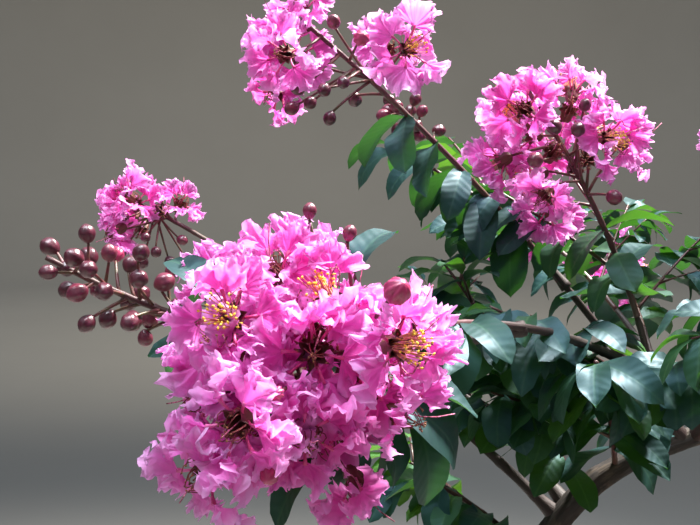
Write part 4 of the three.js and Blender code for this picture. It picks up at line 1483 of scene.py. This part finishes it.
# How much a blade may curl along and across, and how far it may stand off its even turn, tilt and roll.
CURLS = ((-0.9, 1.3), (-1.0, 1.0))
PETAL_TURN = 0.25
PETAL_TILT = 0.65
PETAL_ROLL = 0.8
PETAL_SIZES = (0.9, 1.12)
PETAL_SEED = 31
# Each tint's name, its heart's colour and its paler margin's colour, which is partly a painted highlight.
PETAL_TINTS = (
    ("petal_bright", (0.87, 0.155, 0.610, 1), (0.96, 0.48, 0.89, 1)),
    ("petal_rose", (0.81, 0.105, 0.510, 1), (0.94, 0.39, 0.82, 1)),
    ("petal_pale", (0.89, 0.215, 0.670, 1), (0.96, 0.55, 0.92, 1)),
)
PETAL_SHARES = (0.45, 0.25, 0.3)
# Where on a blade, of 10 in all, the heart's colour ends and the margin's, in part painted highlight, is
# reached.
PALE_MARGIN_HIGHLIGHT_BAND = (4.2, 9.6)
PETAL_GLOW = 0.46
CLAW_RED = (0.62, 0.05, 0.22, 1)
CLAW_PINK = (0.75, 0.16, 0.40, 1)
# Rows and columns of a blade on each side of the crown that the camera is near, and elsewhere.
PETAL_GRIDS = {"near": (12, 97), "left": (7, 66), "upper": (7, 66)}
COARSE_GRID = (4, 36)
# How far the petals of fresh and of past flowers lean to the front.
OPENINGS = {"fresh": (-0.15, 0.4), "past": (-0.4, 0.5)}


def curled(first, second, turn):
    """Two coordinates after the first is rolled up by a turn for each millimetre."""
    turn = turn if abs(turn) > 1e-4 else 1e-4
    rolled = np.sin(turn * first) / turn - second * np.sin(turn * first)
    return rolled, (1 - np.cos(turn * first)) / turn + second * np.cos(turn * first)


def petal_corners(base, outward, across, facing, reach, grid, chance):
    """Corners of one crumpled petal as a fan about the end of its claw, and their places on the blade."""
    rows, columns = grid
    angle = np.linspace(-BLADE_OPENING, BLADE_OPENING, columns)[None, :]
    share = (np.linspace(0.0, 1, rows) ** 0.62)[:, None] * 0.97 + 0.03
    phase = chance.uniform(0, math.tau, 10)
    swell = chance.uniform(*FOLD_SWELLS, 8)
    uneven = angle
    for (height, pitch), start in zip(FOLD_SHIFTS, phase[7:9]):
        uneven = uneven + height * np.sin(pitch * angle + start)
    uneven = uneven + 0.085 * share * np.sin(5.5 * share + 3.2 * angle + phase[9])
    lift, sway, trim = np.zeros((rows, columns)), np.zeros((rows, columns)), np.zeros((rows, columns))
    for number, (waves, height, swing, growth, notch, wander) in enumerate(FOLDS):
        beat = waves * swell[number] * uneven + phase[number] + wander * share
        lift += height * swell[number + 4] * share**growth * np.sin(beat)
        sway -= swing * share**growth * np.sin(2 * beat)
        trim += notch * share**4 * np.sin(beat) ** 2
    ragged = 1.02 + 0.06 * np.sin(6.3 * angle + phase[4])
    for (depth, growth, pitch), start in zip(LOBES, phase[5:7]):
        ragged = ragged - depth * share**growth * (1 - np.abs(np.sin(pitch * angle + start)))
    edge = reach * (0.74 + 0.28 * np.cos(angle)) * (ragged - trim)
    forward = edge * share * np.cos(angle + sway)
    sideward = edge * share * np.sin(angle + sway)
    lift = reach * lift
    for _ in range(CREASES):
        course, start = chance.uniform(0, math.tau, 2)
        crossing = forward * math.cos(course) + sideward * math.sin(course)
        crossing = crossing * math.pi / chance.uniform(*CREASE_SPACINGS)
        lift += CREASE_DEPTH * share**0.7 * (np.abs(np.sin(crossing + start)) - 0.6)
    forward, lift = curled(forward, lift, chance.uniform(*CURLS[0]) / reach)
    sideward, lift = curled(sideward, lift, chance.uniform(*CURLS[1]) / reach)
    corners = laid_out(base, (outward, across, facing), (forward, sideward, lift))
    return corners, blade_places(angle * 4.0, share * 10.0, chance)


petal_materials = []
for name, heart, margin in PETAL_TINTS:
    material, tree, shader = new_material(name, Roughness=0.5, Specular_IOR_Level=0.14)
    blade = place_of(tree)
    outward = add_node(tree, "ShaderNodeSeparateXYZ", Vector=blade).outputs["Y"]
    # The blade pales from heart to margin, partly its own colour and partly a painted highlight.
    pale_margin_and_highlight = mixed(tree, ranged(tree, outward, *PALE_MARGIN_HIGHLIGHT_BAND), heart, margin)
    mottled = blotched(tree, blade, pale_margin_and_highlight, heart, Across=2.4, From=0.5, To=0.8, Most=0.45)
    tree.links.new(mottled, shader.inputs["Base Color"])
    drawn_out = place_of(tree, (1, 0.5, 1))
    crepe = rough_normal(tree, shader, drawn_out, depth=0.75, Grain=0.7, Lumps=1.7, Lumpy=0.6)
    let_light_through(tree, shader, PETAL_GLOW, Color=mottled, Normal=crepe)
    petal_materials.append(material)
petal_materials.append(
    patchy_material("petal_claw", CLAW_RED, CLAW_PINK, {"Across": 3.0}, Roughness=0.5, Specular_IOR_Level=0.4)
)
claw_tint = len(PETAL_TINTS)

for side in SIDES:
    outer_pile, inner_pile = Pile(), Pile()
    chance = np.random.default_rng(PETAL_SEED + SIDES.index(side))
    for place in blossoms[side]:
        if place["bud"]:
            continue
        filling = side == "near" and not place["outer"]
        pile = inner_pile if filling else outer_pile
        grid = PETAL_GRIDS["left"] if filling else PETAL_GRIDS.get(side, COARSE_GRID)
        faces = grid_faces(*grid)
        across, rise = basis(place["out"])
        tint = int(chance.choice(len(PETAL_TINTS), p=PETAL_SHARES))
        opening = chance.uniform(*OPENINGS[place["bloom"]])
        for petal in range(place.get("petals", PETALS)):
            turn = place["turn"] + petal * math.tau / PETALS + chance.uniform(-PETAL_TURN, PETAL_TURN)
            radial, tangent = towards(across, rise, turn), towards(rise, -across, turn)
            tilt = opening + chance.uniform(-PETAL_TILT, PETAL_TILT)
            blade_out = towards(radial, place["out"], tilt)
            roll = chance.uniform(-PETAL_ROLL, PETAL_ROLL)
            tangent = towards(tangent, np.cross(blade_out, tangent), roll)
            facing = np.cross(blade_out, tangent)
            foot = place["end"] - place["out"] * 2.0 + radial * CUP_RADIUS
            claw = radial * CLAW_LENGTH * place["size"]
            claw_end = place["end"] + claw + place["out"] * chance.uniform(*CLAW_RISES)
            reach = BLADE_REACH * place["size"] * chance.uniform(*PETAL_SIZES)
            corners, blade = petal_corners(claw_end, blade_out, tangent, facing, reach, grid, chance)
            pile.add(corners, faces, tint, blade)
            line = bent_line(foot, claw_end + blade_out * 0.8, -radial * 0.6 + place["out"] * 0.8)
            add_thread(pile, line, CLAW_RADII, 5, claw_tint)
    dress_sprays("petals_" + side, outer_pile, petal_materials, side)
    dress_sprays("inner_petals_" + side, inner_pile, petal_materials, side)


# The stamens: a tuft of short threads with yellow pollen heads in each fresh flower's middle, six longer pink
# threads that arch over it, and one long pink style. Past flowers keep fewer threads, dark and curled.
THREAD_RADIUS = 0.16
PINK, GOLD, PAST, POLLEN, OLD_POLLEN = range(5)
# Threads of fresh and of past flowers: how many near the camera and elsewhere, the least and greatest lean
# and length, and the curve, material and head of each.
THREADS = {
    "fresh": (36, 12, (0.03, 0.5), (9.5, 12.5), 0.1, GOLD, POLLEN),
    "past": (16, 8, (0.1, 0.95), (7, 10.5), 0.4, PAST, OLD_POLLEN),
}
ARCHING_STAMENS = 6
ARCHING_LEAN = 0.75
ARCHING_LENGTHS = (13, 16)
ARCHING_CURVE = 0.45
STAMEN_SEED = 71
STYLE = (0.4, 17, -0.2, PINK, None)
HEAD_RADII = (0.62, 0.42, 0.42)
POLLEN_YELLOW = (0.90, 0.52, 0.035, 1)
POLLEN_PALE = (0.92, 0.64, 0.10, 1)
POLLEN_BROWN = (0.30, 0.13, 0.05, 1)
POLLEN_DARK = (0.16, 0.06, 0.04, 1)
THREAD_PINK = (0.74, 0.22, 0.36, 1)
THREAD_GOLD = (0.80, 0.42, 0.10, 1)
THREAD_PAST = (0.22, 0.045, 0.040, 1)

head_corners = np.array([[1, 0, 0], [-1, 0, 0], [0, 1, 0], [0, -1, 0], [0, 0, 1], [0, 0, -1]]) * HEAD_RADII
belt = ((0, 2), (2, 1), (1, 3), (3, 0))
head_faces = [[a, b, 4] for a, b in belt] + [[b, a, 5] for a, b in belt]


def threads_of(bloom, seen, chance):
    """A flower's threads: how far each leans out, its length, curve and material, and its head's material."""
    near, far, leans, lengths, *rest = THREADS[bloom]
    count = near if seen else far
    threads = [(chance.uniform(*leans), chance.uniform(*lengths), *rest) for _ in range(count)]
    if bloom == "fresh":
        lean, length = ARCHING_LEAN + 0.1 * chance.uniform(), chance.uniform(*ARCHING_LENGTHS)
        threads += [(lean, length, ARCHING_CURVE, PINK, OLD_POLLEN)] * ARCHING_STAMENS
    return [*threads, STYLE]


stamen_materials = [
    patchy_material(
        name, ground, patch, {"Across": 1.2, "From": 0.4, "To": 0.6}, Roughness=0.62, Specular_IOR_Level=0.3
    )
    for name, ground, patch in (
        ("pink_thread", THREAD_PINK, STALK_RED),
        ("gold_thread", THREAD_GOLD, THREAD_PINK),
        ("past_thread", THREAD_PAST, CUP_MAROON),
        ("pollen_head", POLLEN_YELLOW, POLLEN_PALE),
        ("past_pollen_head", POLLEN_BROWN, POLLEN_DARK),
    )
]
for side in SIDES:
    pile = Pile()
    chance = np.random.default_rng(STAMEN_SEED + SIDES.index(side))
    for place in blossoms[side]:
        if place["bud"]:
            continue
        across, rise = basis(place["out"])
        root = place["end"] - place["out"] * 3.0
        threads = threads_of(place["bloom"], side in PETAL_GRIDS, chance)
        for number, (spread, length, curve, tint, head) in enumerate(threads):
            turn = number * GOLDEN_TURN + chance.uniform(-0.3, 0.3)
            radial = towards(across, rise, turn)
            tip = root + towards(place["out"], radial, spread) * length
            end = tip - radial * max(0, curve - 0.1) * length
            line = [root + radial * 1.2, (root + tip) / 2 + radial * curve * length, end]
            rings = 5 if curve > 0.3 or head is None else 3
            radii = np.full(rings, THREAD_RADIUS * (1.25 if tint == PINK else 1))
            add_thread(pile, line, radii, 3, tint)
            if head:
                along = unit(chance.normal(size=3))
                aside, up = basis(along)
                spun = head_corners[:, :1] * along + head_corners[:, 1:2] * aside + head_corners[:, 2:] * up
                pile.add(end + spun * (1 if head == POLLEN else 0.8), head_faces, head)
    dress_sprays("stamens_" + side, pile, stamen_materials, side)


# The buds: hard round maroon balls, shiny as wax, with low ribs that meet in a small point. Ripe ones have
# deeper ribs and the red of the folded petals.
BUD_RADIUS = 3.1
RIPE = 2
# Ribs and their depth on unripe and on ripe buds.
BUD_RIBS = ((6, 0.11), (8, 0.26))
BUD_LENGTH = 1.04
BUD_FULLNESS = 0.92
BUD_END = 0.012
BUD_POINT = 0.13
BUD_NECK = 0.22
# Rows and sides of a bud far from the camera and near it.
BUD_GRIDS = ((9, 24), (13, 32))
BUD_TINTS = (
    ("bud_maroon", (0.070, 0.010, 0.021, 1), (0.13, 0.024, 0.043, 1), 0.3),
    ("bud_wine", (0.14, 0.016, 0.042, 1), (0.22, 0.042, 0.070, 1), 0.32),
    ("bud_ripe", (0.40, 0.022, 0.100, 1), (0.50, 0.060, 0.18, 1), 0.42),
)


def bud_shape(place, rows, sides):
    """Corners and faces of one ribbed bud, from its stalk to its point."""
    radius = BUD_RADIUS * place["size"]
    ribs, depth = BUD_RIBS[place["kind"] == RIPE]
    wheel = wheel_of(sides, *basis(place["out"]))
    swelling = np.abs(np.cos(ribs / 2 * (turns_of(sides) + place["turn"]))) ** 0.7
    corners = []
    for row in range(rows):
        lean = -math.pi / 2 + math.pi * row / (rows - 1)
        ribbed = 1 + depth * math.cos(lean) * (swelling - 0.6)
        out = radius * max(math.cos(lean), BUD_END) ** BUD_FULLNESS * ribbed
        point = BUD_POINT * max(0, math.sin(lean)) ** 9
        neck = -BUD_NECK * max(0, -math.sin(lean)) ** 5
        along = radius * (BUD_LENGTH * math.sin(lean) + point + neck)
        corners.append(place["end"] + place["out"] * along + wheel * out[:, None])
    return np.array(corners), grid_faces(rows, sides, wrap=True)


bud_look = {
    "patches": {"Across": 2.6, "From": 0.45, "To": 0.7},
    "grain": {"depth": 0.06, "Grain": 0.4, "Lumps": 1.6, "Lumpy": 0.4},
    "Specular_IOR_Level": 0.6,
    "Coat_Weight": 0.25,
    "Coat_Roughness": 0.25,
}
bud_materials = [
    patchy_material(name, ground, patch, Roughness=roughness, **bud_look)
    for name, ground, patch, roughness in BUD_TINTS
]
for side in SIDES:
    pile = Pile()
    for place in blossoms[side]:
        if place["bud"]:
            corners, faces = bud_shape(place, *BUD_GRIDS[side in PETAL_GRIDS])
            pile.add(corners, faces, place["kind"])
    dress_sprays("buds_" + side, pile, bud_materials, side)


# The studio: a wide pale floor that curves up all round into a wall. A warm key light stands high on the
# right and a little behind, a cool one overhead, a weak one on the left in front, and a last one lights the
# wall.
FLOOR_RADIUS = 4.5
CURVE_RADIUS = 1.6
CURVE_STEPS = 24
WALL_HEIGHT = 3.4
FLOOR_SIDES = 96
FLOOR_COLOUR = (0.275, 0.260, 0.235, 1)
FLOOR_PALE = (0.300, 0.284, 0.258, 1)
SKY_COLOUR = (0.78, 0.88, 1.0, 1)
SKY_STRENGTH = 0.6
# Each light's name, power, colour, place, target, size and the angle of its spread.
LIGHTS = (
    ("key", 26, (1.0, 0.965, 0.91), (0.80, 0.62, 2.25), (-0.1, -0.1, 0.45), 0.35, 58),
    ("overhead", 6.4, (0.84, 0.93, 1.0), (-0.3, -0.3, 1.9), (-0.1, -0.08, 0.45), 1.2, 46),
    ("fill", 2.1, (0.93, 0.96, 1.0), (-1.1, -1.6, 1.2), (-0.05, 0, 0.45), 1.4, 180),
    ("background", 42, (1.0, 0.92, 0.77), (0.1, 1.2, 2.0), (-0.3, 4.2, 1.0), 1.0, 130),
)
CAMERA_PLACE = (-0.150, -0.500, 0.519)
CAMERA_PITCH = 5
PICTURE_WIDTH = 700
FOCAL_PIXELS = 1000

floor_profile = [[0.01, 0], [FLOOR_RADIUS, 0]]
for step in range(1, CURVE_STEPS + 1):
    lean = step / CURVE_STEPS * math.pi / 2
    floor_profile.append([FLOOR_RADIUS + CURVE_RADIUS * math.sin(lean), CURVE_RADIUS * (1 - math.cos(lean))])
floor_profile.append([FLOOR_RADIUS + CURVE_RADIUS, WALL_HEIGHT])
floor_corners, (floor_faces, floor_middle, _) = lathe(np.array(floor_profile) / MM, FLOOR_SIDES)
floor_pile = Pile()
floor_pile.add(floor_corners, (floor_faces[:, ::-1], floor_middle[:, ::-1]))
paper = patchy_material(
    "studio_paper",
    FLOOR_COLOUR,
    FLOOR_PALE,
    {"Across": 900.0, "From": 0.3, "To": 0.8},
    Roughness=0.9,
    Specular_IOR_Level=0.2,
)
floor = floor_pile.mesh("studio_floor", [paper])

scene = bpy.context.scene
scene.view_settings.view_transform = "Standard"
sky = bpy.data.worlds.new("sky")
sky.use_nodes = True
sky.node_tree.nodes["Background"].inputs["Color"].default_value = SKY_COLOUR
sky.node_tree.nodes["Background"].inputs["Strength"].default_value = SKY_STRENGTH
scene.world = sky
for name, power, colour, place, target, size, spread in LIGHTS:
    lamp = bpy.data.lights.new(name, "AREA")
    lamp.energy, lamp.color, lamp.size, lamp.spread = power, colour, size, math.radians(spread)
    light = bpy.data.objects.new(name, lamp)
    light.location = place
    light.rotation_mode = "QUATERNION"
    light.rotation_quaternion = (Vector(target) - Vector(place)).to_track_quat("-Z", "Y")
    scene.collection.objects.link(light)

camera_data = bpy.data.cameras.new("camera")
camera_data.sensor_width = 36
camera_data.lens = camera_data.sensor_width * FOCAL_PIXELS / PICTURE_WIDTH
camera_data.clip_start = 0.01
camera = bpy.data.objects.new("camera", camera_data)
camera.location = CAMERA_PLACE
camera.rotation_euler = (math.radians(90 - CAMERA_PITCH), 0, 0)
scene.collection.objects.link(camera)
scene.camera = camera
